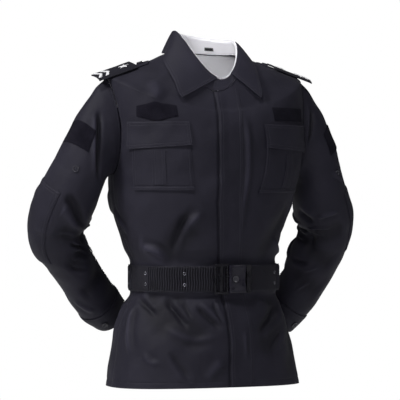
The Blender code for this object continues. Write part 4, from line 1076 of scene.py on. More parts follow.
class Sleeve:
    """One sleeve's surface: turn 0 is its outer side, 90 its front, 180 the underarm."""

    def __init__(self, rings, sign, creases):
        self.sign, self.creases = sign, creases
        centres = np.array([(ring.x, ring.y, ring.z) for ring in rings])
        steps = np.linalg.norm(np.diff(centres, axis=0), axis=1)
        self.knots = np.concatenate(([0.0], np.cumsum(steps))) / steps.sum()
        self.length = steps.sum() / (1 - HEAD_SHARE)
        self.centres = centres
        self.across = np.array([ring.across for ring in rings])
        self.depth = np.array([ring.depth for ring in rings])
        self.share = np.linspace(0, 1, 201)
        tangents = unit(np.gradient(self.centre(self.share), axis=0))
        outer = np.array((1.0, 0.0, 0.3))
        self.outer = np.empty_like(tangents)
        for place, tangent in enumerate(tangents):
            outer = outer - tangent * (outer @ tangent)
            outer = outer / np.linalg.norm(outer)
            self.outer[place] = outer
        self.front = unit(np.cross(self.outer, tangents))
        if self.front[0][1] > 0:
            self.front = -self.front
        self.start_way = tangents[0]
        self.ring_turns = np.linspace(-180, 540, 721)
        self.ring = self.armhole(self.ring_turns)

    def edge(self, turn):
        return np.stack([np.interp(turn, self.ring_turns, self.ring[:, k]) for k in range(3)], -1)

    def centre(self, share):
        place = np.clip(np.searchsorted(self.knots, share) - 1, 0, len(self.knots) - 2)
        tangents = np.gradient(self.centres, self.knots, axis=0)
        span = (self.knots[place + 1] - self.knots[place])[..., None]
        t = ((share - self.knots[place]) / span[..., 0])[..., None]
        ways = span * tangents[place], span * tangents[place + 1]
        return hermite(t, self.centres[place], ways[0], self.centres[place + 1], ways[1])

    def frame_at(self, vectors, share):
        return np.stack([np.interp(share, self.share, vectors[:, k]) for k in range(3)], axis=-1)

    def tube(self, turn, share):
        turn = np.radians(turn)
        across = monotone(self.knots, self.across, share)
        depth = monotone(self.knots, self.depth, share)
        return (
            self.centre(share)
            + self.frame_at(self.outer, share) * (across * np.cos(turn))[..., None]
            + self.frame_at(self.front, share) * (depth * np.sin(turn))[..., None]
        )

    def armhole(self, turn):
        """The edge that the sleeve's head is sewn to, in left-side places."""
        level = ARMHOLE_MIDDLE + ARMHOLE_HALF * np.cos(np.radians(turn))
        forward = np.sin(np.radians(turn))
        angle = np.where(forward > 0, -ARMHOLE_FRONT, ARMHOLE_BACK) * np.abs(forward)
        angle = angle if self.sign > 0 else mirrored(angle)
        edge = bare_body(angle, level) * (self.sign, 1, 1)
        normal = body_normals(angle, level) * (self.sign, 1, 1)
        inwards = edge.mean(axis=tuple(range(edge.ndim - 1))) - edge
        inwards = unit(inwards - normal * (inwards * normal).sum(-1, keepdims=True))
        return edge + inwards * SEAM_GAP + normal * SEAM_GAP * 0.6 + (HEAD_CLEAR, 0, 0)

    def bare(self, turn, share):
        """The head runs from the armhole's edge into the tube, and the tube to the hand."""
        turn, share = np.broadcast_arrays(np.asarray(turn, float), np.asarray(share, float))
        along = (share - HEAD_SHARE) / (1 - HEAD_SHARE)
        tube = self.tube(turn, np.clip(along, 0, 1))
        start, end = self.edge(turn), self.tube(turn, np.zeros_like(share))
        reach = np.linalg.norm(end - start, axis=-1, keepdims=True)
        top = (0.5 + 0.5 * np.cos(np.radians(turn)))[..., None]
        way = unit(HEAD_WAY_TOP * top + HEAD_WAY_UNDER * (1 - top))
        t = np.clip(share / HEAD_SHARE, 0, 1)[..., None]
        head = hermite(t, start, reach * way, end, reach * self.start_way)
        return np.where(along[..., None] > 0, tube, head)

    def normals(self, turn, share):
        share = np.clip(share, 0.002, 0.998)
        round_it = self.bare(turn + 1.0, share) - self.bare(turn - 1.0, share)
        along_it = self.bare(turn, share + 0.002) - self.bare(turn, share - 0.002)
        return unit(np.cross(round_it, along_it))

    def away(self, turn, share):
        turn, share = np.broadcast_arrays(np.asarray(turn, float), np.asarray(share, float))
        return self.normals(turn, share) * (self.sign, 1, 1)

    def fold(self, turn, share):
        """How far the folds push the sleeve's cloth out, with none at its head and cuff."""
        height = folded(SLEEVE_FOLDS, self.creases, turn, share, SLEEVE_SCALE, self.length)
        return height * smooth_step(share / 0.06) * smooth_step((CUFF_START - share) / 0.06)

    def points(self, turn, share, lift=0.0):
        turn, share = np.broadcast_arrays(np.asarray(turn, float), np.asarray(share, float))
        bare = self.bare(turn, share)
        height = self.fold(turn, share) + drift(bare * (self.sign, 1, 1)) * smooth_step(share / 0.06)
        placed = bare + self.normals(turn, share) * (height + lift)[..., None]
        return placed * (self.sign, 1, 1)


SLEEVES = {
    "left": Sleeve(SLEEVE_LEFT, 1, SLEEVE_CREASES["left"]),
    "right": Sleeve(SLEEVE_RIGHT, -1, SLEEVE_CREASES["right"]),
}
print("sleeve lengths:", {side: round(sleeve.length, 3) for side, sleeve in SLEEVES.items()})

# %% Sleeve and cuff cloth
SLEEVE_ROWS, SLEEVE_COLUMNS, CUFF_ROWS = 190, 170, 18


def on_sleeve(kind, side, turn, share, lift, rests_on, **how):
    """Cloth that follows a sleeve's surface, lifted off it."""
    sleeve = SLEEVES[side]
    return sewn(f"{kind}_{side}_cloth", sleeve.points(turn, share, lift), sleeve.away(turn, share),
                rests_on=(rests_on,), fold=sleeve.fold(turn, share), **how)


for side, sleeve in SLEEVES.items():
    turn = np.linspace(0, 360, SLEEVE_COLUMNS + 1)[None, :]
    share = np.concatenate(([0.0, 0.0], np.linspace(0, CUFF_START, SLEEVE_ROWS + 1)[1:], [CUFF_START]))
    share = share[:, None] + 0 * turn
    lift = 0.0014 * np.exp(-(((share - 0.035) / 0.018) ** 2)) * (0.6 + 0.4 * np.cos(np.radians(turn)))
    lift = lift - 0.0006 * np.exp(-share / 0.004)
    lift[0, :], lift[-1, :] = -TURN_IN, -TURN_IN
    on_sleeve("sleeve", side, turn, share, lift, f"front_{side}_panel", sew="e")
    cuff = np.linspace(CUFF_START + SEAM_GAP / sleeve.length, 1.0, CUFF_ROWS + 1)
    share = np.concatenate((cuff[:1], cuff, cuff[-1:]))[:, None] + 0 * turn
    lift = np.full(share.shape, CUFF_LIFT)
    near_edge = np.minimum(share - cuff[0], cuff[-1] - share) * sleeve.length
    lift = lift - 0.0007 * np.exp(-near_edge / 0.0015)
    lift[0, :], lift[-1, :] = CUFF_LIFT - TURN_IN, CUFF_LIFT - TURN_IN
    on_sleeve("cuff", side, turn, share, lift, f"sleeve_{side}_cloth", sew="e")

# %% [markdown]
# ## Sleeve patches
#
# The elbow patches are a second layer of twill, sewn on with two rows of stitches. The panels
# higher up are loop pile. Both follow the sleeve's own surface, a millimetre or two above it,
# and their edges sink to the cloth, where they are sewn down.

# %% Elbow patches and sleeve panels
Place = namedtuple("Place", "turn share")
SLEEVE_PATCH = (Place(-4, 0.146), Place(64, 0.112), Place(-8, 0.210), Place(70, 0.180))
ELBOW_PATCH = (Place(-72, 0.348), Place(54, 0.348), Place(-72, 0.592), Place(54, 0.592))
PATCH_TOP = 0.0021


def edge_sink(grid, depth, width=0.0014):
    """How much the lift falls close to the edges of a piece that is sewn down."""
    across, along = lengths(grid, 1), lengths(grid, 0)
    near = np.minimum(across, across[:, -1:] - across)
    near = np.minimum(near, np.minimum(along, along[-1:, :] - along))
    return -depth * np.exp(-near / width)


def corner_grid(corners, rows, columns):
    """Two grids of values between four corners, the upper two first, and the shares down and
    over them."""
    shares = np.linspace(0, 1, rows + 1), np.linspace(0, 1, columns + 1)
    down, over = np.meshgrid(*shares, indexing="ij")
    first, second, third, fourth = (np.array(corner)[:, None, None] for corner in corners)
    upper, lower = first * (1 - over) + second * over, third * (1 - over) + fourth * over
    return *(upper * (1 - down) + lower * down), down, over


for side, sleeve in SLEEVES.items():
    for kind, corners, finish, slot, columns, rows in (
        ("elbow_patch", ELBOW_PATCH, TWILL, "cloth", 66, 66),
        ("sleeve_patch", SLEEVE_PATCH, PILE, "patch", 44, 24),
    ):
        turn, share, _, _ = corner_grid(corners, rows, columns)
        lift = PATCH_TOP + edge_sink(sleeve.bare(turn, share), 0.0009)
        on_sleeve(kind, side, turn, share, lift, f"sleeve_{side}_cloth", finish=finish, slot=slot,
                  thick=0.0010)

# %% [markdown]
# ## Placket, pockets and chest patches
#
# A covered zip closes the front: the placket's free edge stands proud on one side, and its
# other side is stitched flat. Each breast pocket is a layer with a pleat that opens on one
# side, a turned hem at the foot, and a flap whose lower edge stands off and casts a shadow.

# %% Places on the fronts
Trim = namedtuple("Trim", "top_out top_in bottom_in bottom_out")
POCKET = Trim((-0.194, -0.152), (-0.084, -0.152), (-0.074, -0.297), (-0.188, -0.297))
POCKET_FLAP = Trim((-0.198, -0.150), (-0.081, -0.150), (-0.078, -0.201), (-0.196, -0.209))
POCKET_PLEAT = Trim((-0.159, -0.212), (-0.133, -0.212), (-0.131, -0.286), (-0.157, -0.286))
POCKET_BAND = Trim((-0.188, -0.289), (-0.074, -0.289), (-0.073, -0.298), (-0.187, -0.298))
NAME_PATCH = Trim((-0.193, -0.114), (-0.112, -0.114), (-0.112, -0.142), (-0.193, -0.142))
LEFT_TRIM_RISE = -0.008
Profile = namedtuple("Profile", "x top bottom")
BADGE_PATCH = (
    Profile(-0.184, -0.117, -0.140),
    Profile(-0.172, -0.114, -0.143),
    Profile(-0.160, -0.111, -0.147),
    Profile(-0.152, -0.108, -0.149),
    Profile(-0.144, -0.108, -0.149),
    Profile(-0.136, -0.111, -0.147),
    Profile(-0.120, -0.113, -0.142),
    Profile(-0.103, -0.116, -0.139),
)


def place_front(x, z):
    """The angle and level of a point that is seen from the front at x and z."""
    x, z = np.broadcast_arrays(np.asarray(x, float), np.asarray(z, float))
    level, angle = z + 0.02, np.full(x.shape, FRONT)
    for _ in range(12):
        across = np.clip((x - body_column("lean", level)) / body_column("half_width", level), -1, 1)
        depth = (1 - np.abs(across) ** SQUARENESS) ** (1 / SQUARENESS)
        angle = np.degrees(np.arctan2(-depth, across))
        level = z + body_column("front_drop", level) * np.sin(np.radians(angle)) ** 2
    return angle, level


def trim_places(trim, rows, columns):
    """Angles and levels over a four-cornered piece, with the shares down and across it."""
    corners = (trim.top_out, trim.top_in, trim.bottom_out, trim.bottom_in)
    x, z, down, over = corner_grid(corners, rows, columns)
    return *place_front(x, z), down, over


def on_front(name, side, angle, level, lift, sink=0.0, finish=TWILL, slot="cloth", **how):
    """A piece that is drawn on the wearer's right front, or mirrored to the left one. sink is how
    far its edges go down to the cloth."""
    lift = lift + edge_sink(bare_body(angle, level), sink)
    if side == "left":
        angle, level = mirrored(angle), level + LEFT_TRIM_RISE
    return on_body(name, angle, level, finish, slot, lift=lift, sides="", ends="", held="laid",
                   rests_on=(f"front_{side}_panel",), thick=0.0010, **how)


# %% Placket
placket_levels = np.linspace(HEM_LEVEL + 0.004, NECK_LEVEL - 0.004, 190)[:, None]
share = np.linspace(0, 1, 22)[None, :]
x = PLACKET_RIGHT + share * (PLACKET_LEFT - PLACKET_RIGHT) + placket_shift(placket_levels)
angle = front_line(placket_levels) + np.degrees(x / body_column("half_width", placket_levels))
lift = 0.0036 - 0.0020 * smooth_step(share * 2.2) + 0 * placket_levels
on_body("placket_cloth", angle, placket_levels, lift=lift, ends="", turn_in=0.0012, held="laid",
        rests_on=("front_left_panel",), thick=0.0009, sew="s")

# %% Pockets and flaps
for side in ("left", "right"):
    angle, level, down, over = trim_places(POCKET, 56, 46)
    lift = 0.0021 + 0.0016 * np.sin(np.pi * down) * np.sin(np.pi * over)
    on_front(f"pocket_{side}_cloth", side, angle, level, lift, 0.0009)
    angle, level, down, over = trim_places(POCKET_PLEAT, 32, 14)
    lift = 0.0036 + 0.0016 * smooth_step(over) * np.sin(np.pi * (0.15 + 0.8 * down))
    lift = lift - 0.0008 * np.exp(-over / 0.06)
    on_front(f"pocket_pleat_{side}_cloth", side, angle, level, lift, sew="s")
    angle, level, down, over = trim_places(POCKET_BAND, 6, 46)
    on_front(f"pocket_band_{side}_cloth", side, angle, level, 0.0040, 0.0006, sew="e")
    angle, level, down, over = trim_places(POCKET_FLAP, 26, 48)
    lift = 0.0044 + 0.0022 * smooth_step((down - 0.35) / 0.65)
    lift = lift + 0.0006 * np.sin(9.0 * over + 1.0) * down - 0.0012 * np.exp(-down / 0.05)
    on_front(f"pocket_flap_{side}_cloth", side, angle, level, lift)

# %% Chest patches
knots = np.linspace(0, 1, len(BADGE_PATCH))
over = np.linspace(0, 1, 41)
x, top, bottom = (
    np.interp(over, knots, [getattr(place, key) for place in BADGE_PATCH])[None, :]
    for key in ("x", "top", "bottom")
)
down = np.linspace(0, 1, 19)[:, None]
angle, level = place_front(x + 0 * down, top + down * (bottom - top))
on_front("badge_patch_pile", "right", angle, level, PATCH_TOP, 0.0007, PILE, "patch")
angle, level, down, over = trim_places(NAME_PATCH, 14, 38)
on_front("name_patch_pile", "left", angle, level, PATCH_TOP, 0.0007, PILE, "patch")

# %% [markdown]
# ## Shoulder straps and boards
#
# A strap runs along the top of each shoulder and ends in a point by the collar, where a
# button holds it. A stiff board is slipped over it. It follows the strap, then runs straight
# on past the shoulder. Its marks are plain: two white chevrons and a star.

# %% Shoulder surfaces
STRAP_X, STRAP_HALF, STRAP_CLEAR, STRAP_THICK = (0.128, 0.219), 0.021, 0.0013, 0.0018
BOARD_X, BOARD_HALF, BOARD_CLEAR = (0.162, 0.251), 0.027, 0.0042
BOARD_THICK, BOARD_FRONT_DROP, BOARD_BACK_RISE = 0.003, 0.0075, 0.0060
BOARD_LENGTH = BOARD_X[1] - BOARD_X[0]
SIGN = {"left": 1, "right": -1}


def top_height(x, y):
    """The height of the shoulder's top at x and y, in left-side places without lean."""
    low, high = np.full(np.shape(x + y), TIP_LEVEL), np.full(np.shape(x + y), NECK_LEVEL)
    for _ in range(30):
        level = (low + high) / 2
        depth = of_side(y <= 0, "", level)
        across = np.abs(x) / body_column("half_width", level)
        reach = across**SQUARENESS + np.abs(y / depth) ** SQUARENESS
        low, high = np.where(reach > 1, low, level), np.where(reach > 1, level, high)
    out = np.sin(np.arctan2(y / depth, across))
    drop = of_side(y <= 0, "_drop", level)
    return level - drop * out * out


def shoulder_lean(side):
    return body_column("lean", np.array(-0.035)) * SIGN[side]


def board_surface(side, along, across):
    """The underside of the board: it follows the strap, then runs on straight."""
    along, across = np.broadcast_arrays(np.asarray(along, float), np.asarray(across, float))
    x = BOARD_X[0] + along * BOARD_LENGTH
    bend = STRAP_X[1] - 0.008
    on = top_height(np.minimum(x, bend), 0 * x)
    near, far = (top_height(np.array(place), np.array(0.0)) for place in (bend - 0.02, bend))
    height = on + (far - near) / 0.02 * np.maximum(x - bend, 0) + BOARD_CLEAR
    dome = np.where(across < 0, BOARD_FRONT_DROP * (across / BOARD_HALF) ** 2, 0.0)
    dome = dome - BOARD_BACK_RISE * smooth_step((across / BOARD_HALF + 0.6) / 1.8)
    return np.stack(((x + shoulder_lean(side)) * SIGN[side], across, height - dome), axis=-1)


def board_up(side, along, across):
    step = 0.01
    run = board_surface(side, along + step, across) - board_surface(side, along - step, across)
    over = board_surface(side, along, across + 0.001) - board_surface(side, along, across - 0.001)
    return unit(np.cross(run, over)) * SIGN[side]


def on_board(side, along, across, lift):
    lift = np.asarray(lift, float)
    return board_surface(side, along, across) + board_up(side, along, across) * lift[..., None]


# %% Straps, boards and chevrons
CHEVRON_SHARES, CHEVRON_WIDTH = (0.62, 0.80), 0.0075
for side in ("left", "right"):
    length = np.linspace(0, 1, 31)[None, :]
    width = np.linspace(-1, 1, 17)[:, None]
    point = 0.010 * np.abs(width) ** 1.5 * (1 - length) ** 2
    x = STRAP_X[0] + length * (STRAP_X[1] - STRAP_X[0]) + point
    y = width * STRAP_HALF + 0 * x
    height = top_height(x, y) + STRAP_CLEAR + STRAP_THICK
    rim = np.minimum(1 - np.abs(width), np.minimum(length, 1 - length) * 4) + 0 * x
    height = height - 0.0008 * np.exp(-rim / 0.05)
    grid = np.stack(((x + shoulder_lean(side)) * SIGN[side], y, height), axis=-1)
    up = np.zeros(grid.shape) + (0, 0, 1)
    sewn(f"shoulder_strap_{side}_cloth", grid, up, held="laid",
         rests_on=(f"front_{side}_panel", "back_panel"), thick=0.0016)

    along = np.linspace(0, 1, 49)[None, :]
    width = np.linspace(-1, 1, 33)[:, None]
    rim = np.minimum((1 - np.abs(width)) * BOARD_HALF, np.minimum(along, 1 - along) * BOARD_LENGTH)
    piping = 0.0007 * np.exp(-(((rim - 0.0022) / 0.0011) ** 2))
    lift = BOARD_THICK + piping - 0.0016 * np.exp(-rim / 0.0009)
    grid = on_board(side, along, width * BOARD_HALF, lift)
    sewn(f"rank_board_{side}_cloth", grid, board_up(side, along, width * BOARD_HALF),
         BOARD_CLOTH_FINISH, "patch", "stretched", (f"shoulder_strap_{side}_cloth",), thick=0.0024)

    for number, share in enumerate(CHEVRON_SHARES, start=1):
        across = np.linspace(-0.020, 0.020, 41)[:, None]
        edge = np.linspace(0, CHEVRON_WIDTH, 11)[None, :] / BOARD_LENGTH
        along = share + np.sqrt(across**2 + 0.0000015) * 0.45 / BOARD_LENGTH + edge
        place = edge * BOARD_LENGTH / CHEVRON_WIDTH
        ridge = 0.00022 * np.abs(np.sin(np.pi * 3 * place)) + 0.00012 * np.sin(across * 3600.0)
        rounded = -0.0006 * np.exp(-np.minimum(place, 1 - place) / 0.06)
        lift = BOARD_THICK + 0.0016 + ridge + rounded
        grid = on_board(side, along, across, lift)
        strip, _, _ = cloth(
            f"chevron_{side}_{number}_braid", grid, board_up(side, along, across), BRAID,
            thick=0.0009, sew="s",
        )
        keep(strip, [f"chevron_{side}_{number}"])

# %% [markdown]
# ## Stars
#
# The star starts as a ten-sided disc. Every second corner is pulled in towards the middle,
# the middle is raised so that the rays have facets, and the rim is extruded down. Then the
# flat star is laid on the board's curve.

# %% Stars
STAR_SHARE, STAR_RADIUS = 0.26, 0.012
STAR_WAIST, STAR_PEAK, STAR_DEPTH = 0.42, 0.0011, 0.0008
NEAR_MIDDLE = 0.001


def edit(piece, mode, choose):
    """Go into edit mode with only the vertices, edges or faces that choose picks."""
    only(piece)
    bpy.ops.object.mode_set(mode="EDIT")
    bpy.ops.mesh.select_mode(type=mode)
    bpy.ops.mesh.select_all(action="DESELECT")
    bpy.ops.object.mode_set(mode="OBJECT")
    parts = {"VERT": piece.data.vertices, "EDGE": piece.data.edges, "FACE": piece.data.polygons}
    for part in parts[mode]:
        part.select = bool(choose(part))
    bpy.ops.object.mode_set(mode="EDIT")


def leave():
    bpy.ops.object.mode_set(mode="OBJECT")


def carve(piece, tool):
    """Cut the tool's shape out of the piece, and take the tool away."""
    change = piece.modifiers.new("carve", "BOOLEAN")
    change.operation, change.solver, change.object = "DIFFERENCE", "EXACT", tool
    apply_all(piece)
    bpy.data.objects.remove(tool)


def is_inner(vertex):
    """Whether this is one of the disc's corners that the star pulls in: every second one."""
    turn = math.degrees(math.atan2(vertex.co.x, vertex.co.y))
    return vertex.co.length > NEAR_MIDDLE and round(turn / 36) % 2


def settle(piece):
    """Put the piece's place into its mesh and leave its object at the origin."""
    piece.data.transform(piece.matrix_world)
    piece.matrix_world = Matrix.Identity(4)
    for collection in list(piece.users_collection):
        collection.objects.unlink(piece)
    JACKET.objects.link(piece)
    return piece


star = start_shape(
    bpy.ops.mesh.primitive_circle_add, "star_pattern", vertices=10, radius=STAR_RADIUS,
    fill_type="TRIFAN",
)
edit(star, "VERT", is_inner)
bpy.ops.transform.resize(value=(STAR_WAIST, STAR_WAIST, 1.0), center_override=(0, 0, 0))
leave()
edit(star, "VERT", lambda v: v.co.length < NEAR_MIDDLE)
bpy.ops.transform.translate(value=(0, 0, STAR_PEAK))
leave()
edit(star, "FACE", lambda f: True)
bpy.ops.mesh.extrude_region_move(TRANSFORM_OT_translate={"value": (0, 0, 0)})
bpy.ops.transform.translate(value=(0, 0, STAR_DEPTH))
leave()
bevel = star.modifiers.new("rim", "BEVEL")
bevel.width, bevel.segments = 0.0002, 2
apply_all(star)
for side in ("left", "right"):
    piece = star.copy()
    piece.data = star.data.copy()
    piece.name = f"star_{side}_pip"
    JACKET.objects.link(piece)
    co = np.array([v.co for v in piece.data.vertices])
    co[:, 2] -= co[:, 2].min()
    along = np.full(len(co), STAR_SHARE) - co[:, 1] / BOARD_LENGTH
    placed = on_board(side, along, co[:, 0], BOARD_THICK + 0.0004 + co[:, 2])
    piece.data.vertices.foreach_set("co", placed.astype(np.float32).ravel())
    only(piece)
    bpy.ops.object.mode_set(mode="EDIT")
    bpy.ops.mesh.select_all(action="SELECT")
    bpy.ops.mesh.normals_make_consistent(inside=False)
    leave()
    piece.data.materials.clear()
    piece.data.materials.append(STAR_ENAMEL)
    keep(piece, [f"star_{side}"])
bpy.data.objects.remove(star)
print("stars are on the boards")

# %% [markdown]
# ## Buttons
#
# Each button is a disc with a raised rim, a dished middle and four holes, crossed by its
# thread. It is modelled once, lying flat, and each copy is turned to face out of the cloth
# where it is sewn.

# %% Button pattern
BUTTON_RADIUS, BUTTON_DEPTH = 0.0072, 0.0028
BUTTON_CLEAR, STRAP_BUTTON_CLEAR = 0.0003, 0.0004
STRAP_BUTTON_X = 0.148
HOLE_RADIUS, HOLE_REACH = 0.00085, 0.0017
SLEEVE_BUTTON, CUFF_BUTTON = (60, 0.250), (75, 0.955)

button = start_shape(
    bpy.ops.mesh.primitive_cylinder_add, "button_pattern", vertices=40, radius=BUTTON_RADIUS,
    depth=BUTTON_DEPTH,
)
edit(button, "FACE", lambda f: f.normal.z > 0.9)
bpy.ops.mesh.inset(thickness=0.0013)
bpy.ops.mesh.inset(thickness=0.0007)
bpy.ops.transform.translate(value=(0, 0, -0.0008))
bpy.ops.mesh.inset(thickness=0.0008)
leave()
bevel = button.modifiers.new("rim", "BEVEL")
bevel.width, bevel.segments, bevel.limit_method = 0.0003, 2, "ANGLE"
apply_all(button)
for x, y in ((1, 1), (-1, 1), (-1, -1), (1, -1)):
    drill = start_shape(
        bpy.ops.mesh.primitive_cylinder_add, "drill", vertices=12, radius=HOLE_RADIUS, depth=0.01,
        location=(x * HOLE_REACH, y * HOLE_REACH, 0),
    )
    carve(button, drill)
button.data.materials.append(BUTTON_PLASTIC)
button.data.materials.append(TWILL)
thread = start_shape(bpy.ops.mesh.primitive_cube_add, "thread_pattern", size=1.0)
thread.data.transform(Matrix.Diagonal((0.0046, 0.0009, 0.0007, 1.0)))
bevel = thread.modifiers.new("round", "BEVEL")
bevel.width, bevel.segments = 0.0003, 2
apply_all(thread)
threads = []
for turn, rise in ((45, 0.00085), (135, 0.0011)):
    strand = thread.copy()
    strand.data = thread.data.copy()
    JACKET.objects.link(strand)
    crossed = Matrix.Translation((0, 0, rise)) @ Matrix.Rotation(math.radians(turn), 4, "Z")
    strand.data.transform(crossed)
    strand.data.materials.append(TWILL)
    threads.append(strand)
bpy.data.objects.remove(thread)
only(button)
for strand in threads:
    strand.select_set(True)
bpy.ops.object.join()
button.data.shade_smooth()
button.data.set_sharp_from_angle(angle=math.radians(35))
print("button pattern:", len(button.data.polygons), "faces")


# %% Sew the buttons on
def place_copy(pattern, name, point, normal, up=(0, 0, 1)):
    """A copy of a pattern with its own mesh, its +Z along normal and its +Y near up."""
    out = Vector(normal).normalized()
    right = Vector(up).cross(out).normalized()
    turn = Matrix((right, out.cross(right), out)).transposed().to_4x4()
    piece = bpy.data.objects.new(name, pattern.data.copy())
    piece.data.transform(Matrix.Translation(Vector(point)) @ turn)
    JACKET.objects.link(piece)
    return piece


for side, sleeve in SLEEVES.items():
    for name, place, lift in (
        ("sleeve_button", SLEEVE_BUTTON, 0.0), ("cuff_button", CUFF_BUTTON, CUFF_LIFT)
    ):
        out = sleeve.away(*place)
        point = sleeve.points(*place, lift) + out * (BUTTON_DEPTH / 2 + BUTTON_CLEAR - 0.0008)
        piece = place_copy(button, f"{name}_{side}_sewn", point, out)
        keep(piece, [f"{name}_{side}"])
    x = np.array(STRAP_BUTTON_X)
    low, high = top_height(x, np.array(0.0)), top_height(x + 0.004, np.array(0.0))
    out = unit(np.array((-(high - low) / 0.004 * SIGN[side], 0.0, 1.0)))
    across = (STRAP_BUTTON_X + shoulder_lean(side)) * SIGN[side]
    point = np.array((across, 0.0, low + STRAP_CLEAR + STRAP_THICK))
    point = point + out * (BUTTON_DEPTH / 2 + STRAP_BUTTON_CLEAR)
    piece = place_copy(button, f"strap_button_{side}_sewn", point, out, up=(0, 1, 0))
    keep(piece, [f"strap_button_{side}"])
bpy.data.objects.remove(button)
print("buttons are sewn on")

# %% [markdown]
# ## Collar
#
# A shirt collar has two parts. The stand rises from the neck seam. At its top the cloth rolls
# over, and the leaf comes down outside and rests on the shoulders. The inner side is lined in
# white, up to the crest of the roll, and a small black label is sewn in at the back.

# %% Collar surfaces
COLLAR_CLOTH = 0.0022
FOLD_MIDDLE, FOLD_FRONT_MIDDLE, FOLD_HALF_WIDTH = 0.004, 0.010, 0.068
FOLD_FRONT, FOLD_BACK = 0.080, 0.055
FOLD_HEIGHT, FOLD_DROP, FOLD_TILT = 0.037, 0.094, 0.010
STAND_ENDS, FALL_ENDS = (-89.0, 269.0), (-66.0, 265.0)
FALL_ROLL = 0.0035
EdgePlace = namedtuple("EdgePlace", "share angle level lift")
FALL_EDGE = (
    EdgePlace(0.00, -62, -0.040, 0.012),
    EdgePlace(0.15, -46, -0.022, 0.009),
    EdgePlace(0.25, -33, -0.0155, 0.006),
    EdgePlace(0.36, -19, -0.011, 0.004),
    EdgePlace(0.50, 0, -0.003, 0.004),
    EdgePlace(0.75, 45, -0.004, 0.007),
    EdgePlace(1.00, 90, -0.007, 0.008),
)


def around(turn):
    """Level directions away from the neck's middle."""
    turn = np.radians(turn)
    return np.stack((np.cos(turn), np.sin(turn), 0 * turn), axis=-1)


def fold_ring(turn):
    side, out = np.cos(np.radians(turn)), np.sin(np.radians(turn))
    depth = np.where(out < 0, FOLD_FRONT, FOLD_BACK)
    drop = np.where(out < 0, FOLD_DROP * np.abs(out) ** 1.8, 0.0) + FOLD_TILT * side
    middle = FOLD_MIDDLE * (1 - np.abs(out)) + np.where(out < 0, FOLD_FRONT_MIDDLE * np.abs(out), 0.0)
    across = middle + FOLD_HALF_WIDTH * side
    return np.stack((across, depth * out, FOLD_HEIGHT - drop), axis=-1)


def stand_surface(turn, share, inwards=0.0):
    """The stand's outer side, moved inwards towards the neck."""
    turn, share = np.broadcast_arrays(np.asarray(turn, float), np.asarray(share, float))
    height = fold_height(BODY_FOLDS, turn, np.full(turn.shape, NECK_LEVEL), BODY_SCALE, 1.0)
    low = bare_body(turn, NECK_LEVEL + 0 * share)
    low = low + body_normals(turn, NECK_LEVEL + 0 * share) * height[..., None]
    low = low + (0, 0, SEAM_GAP * 1.5)
    share = share[..., None]
    return low + (fold_ring(turn) - low) * share - around(turn) * inwards


def fall_turn(column):
    ends = np.where(column < 0, FALL_ENDS[0], FALL_ENDS[1])
    return BACK + (ends - BACK) * np.abs(column)


def fall_surface(column, share):
    """The collar's leaf. Column runs from -1 at the left tip to 1 at the right tip, and
    share from 0 at the fold line to 1 at the edge."""
    column, share = np.broadcast_arrays(np.asarray(column, float), np.asarray(share, float))
    place = 1 - np.abs(column)
    shares = np.array([row.share for row in FALL_EDGE])
    angle, level, lift = (
        monotone(shares, np.array([getattr(row, key) for row in FALL_EDGE], float), place)
        for key in ("angle", "level", "lift")
    )
    angle = np.where(column < 0, angle, mirrored(angle))
    edge = bare_body(angle, level) + body_normals(angle, level) * lift[..., None]
    away = around(fall_turn(column))
    start = fold_ring(fall_turn(column)) + away * 0.001 + (0, 0, FALL_ROLL)
    bend = start + away * 0.007 + (0, 0, -0.002)
    share = share[..., None]
    return bowed(share, start, bend, edge)


# %% Stand, lining and leaf
COLLAR_COLUMNS = 180
turn = np.linspace(*STAND_ENDS, COLLAR_COLUMNS + 1)[None, :]
share = np.linspace(0, 1, 15)[:, None]
sewn("collar_stand_cloth", stand_surface(turn, share), around(turn + 0 * share),
     held="stretched", rests_on=("back_panel", "front_left_panel"), thick=0.0020)

LINING_DEEP, LABEL_LIFT = COLLAR_CLOTH + 0.0012, 0.0021
foot = -0.02 - 0.11 * np.clip(np.sin(np.radians(turn)), 0, 1)
rise = foot + (0.90 - foot) * np.concatenate((np.linspace(0, 1, 14), np.ones(7)))[:, None]
grid = stand_surface(turn, rise, LINING_DEEP)
over = np.concatenate((np.zeros(14), np.linspace(0, 1, 8)[1:]))[:, None, None]
crest = fold_ring(turn + 0 * rise) + around(turn + 0 * rise) * 0.0006 + (0, 0, FALL_ROLL + 0.0004)
high = stand_surface(turn, 1.0 + 0 * rise, LINING_DEEP) + (0, 0, 0.0024)
start = stand_surface(turn, 0.90 + 0 * rise, LINING_DEEP)
rolled = bowed(over, start, high, crest)
grid = np.where(over > 0, rolled, grid)
sewn("collar_lining_cloth", grid, -around(turn + 0 * rise), LINING, "lining", "stretched",
     ("collar_stand_cloth",), thick=0.0008)

column = np.linspace(-1, 1, COLLAR_COLUMNS + 1)[None, :]
share = np.concatenate((np.linspace(0, 0.2, 8)[:-1], np.linspace(0.2, 1, 26)))[:, None]
grid = fall_surface(column, share)
normal = unit(np.cross(np.gradient(grid, axis=1), np.gradient(grid, axis=0)))
if normal[0, COLLAR_COLUMNS // 2, 2] < 0:
    normal = -normal
sag = 0.0012 * np.sin(np.pi * share) * np.sin(9.0 * column + 0.6) * (1 - np.abs(column) ** 6)
rim = np.minimum(lengths(grid, 0)[-1:, :] - lengths(grid, 0), 0.02)
sink = -0.0007 * np.exp(-rim / 0.0012)
grid = grid + normal * (sag + sink)[..., None]
sewn("collar_leaf_cloth", grid, normal, held="folded", stands_for="collar_fall",
     rests_on=("collar_stand_cloth", "back_panel"), thick=0.0019)

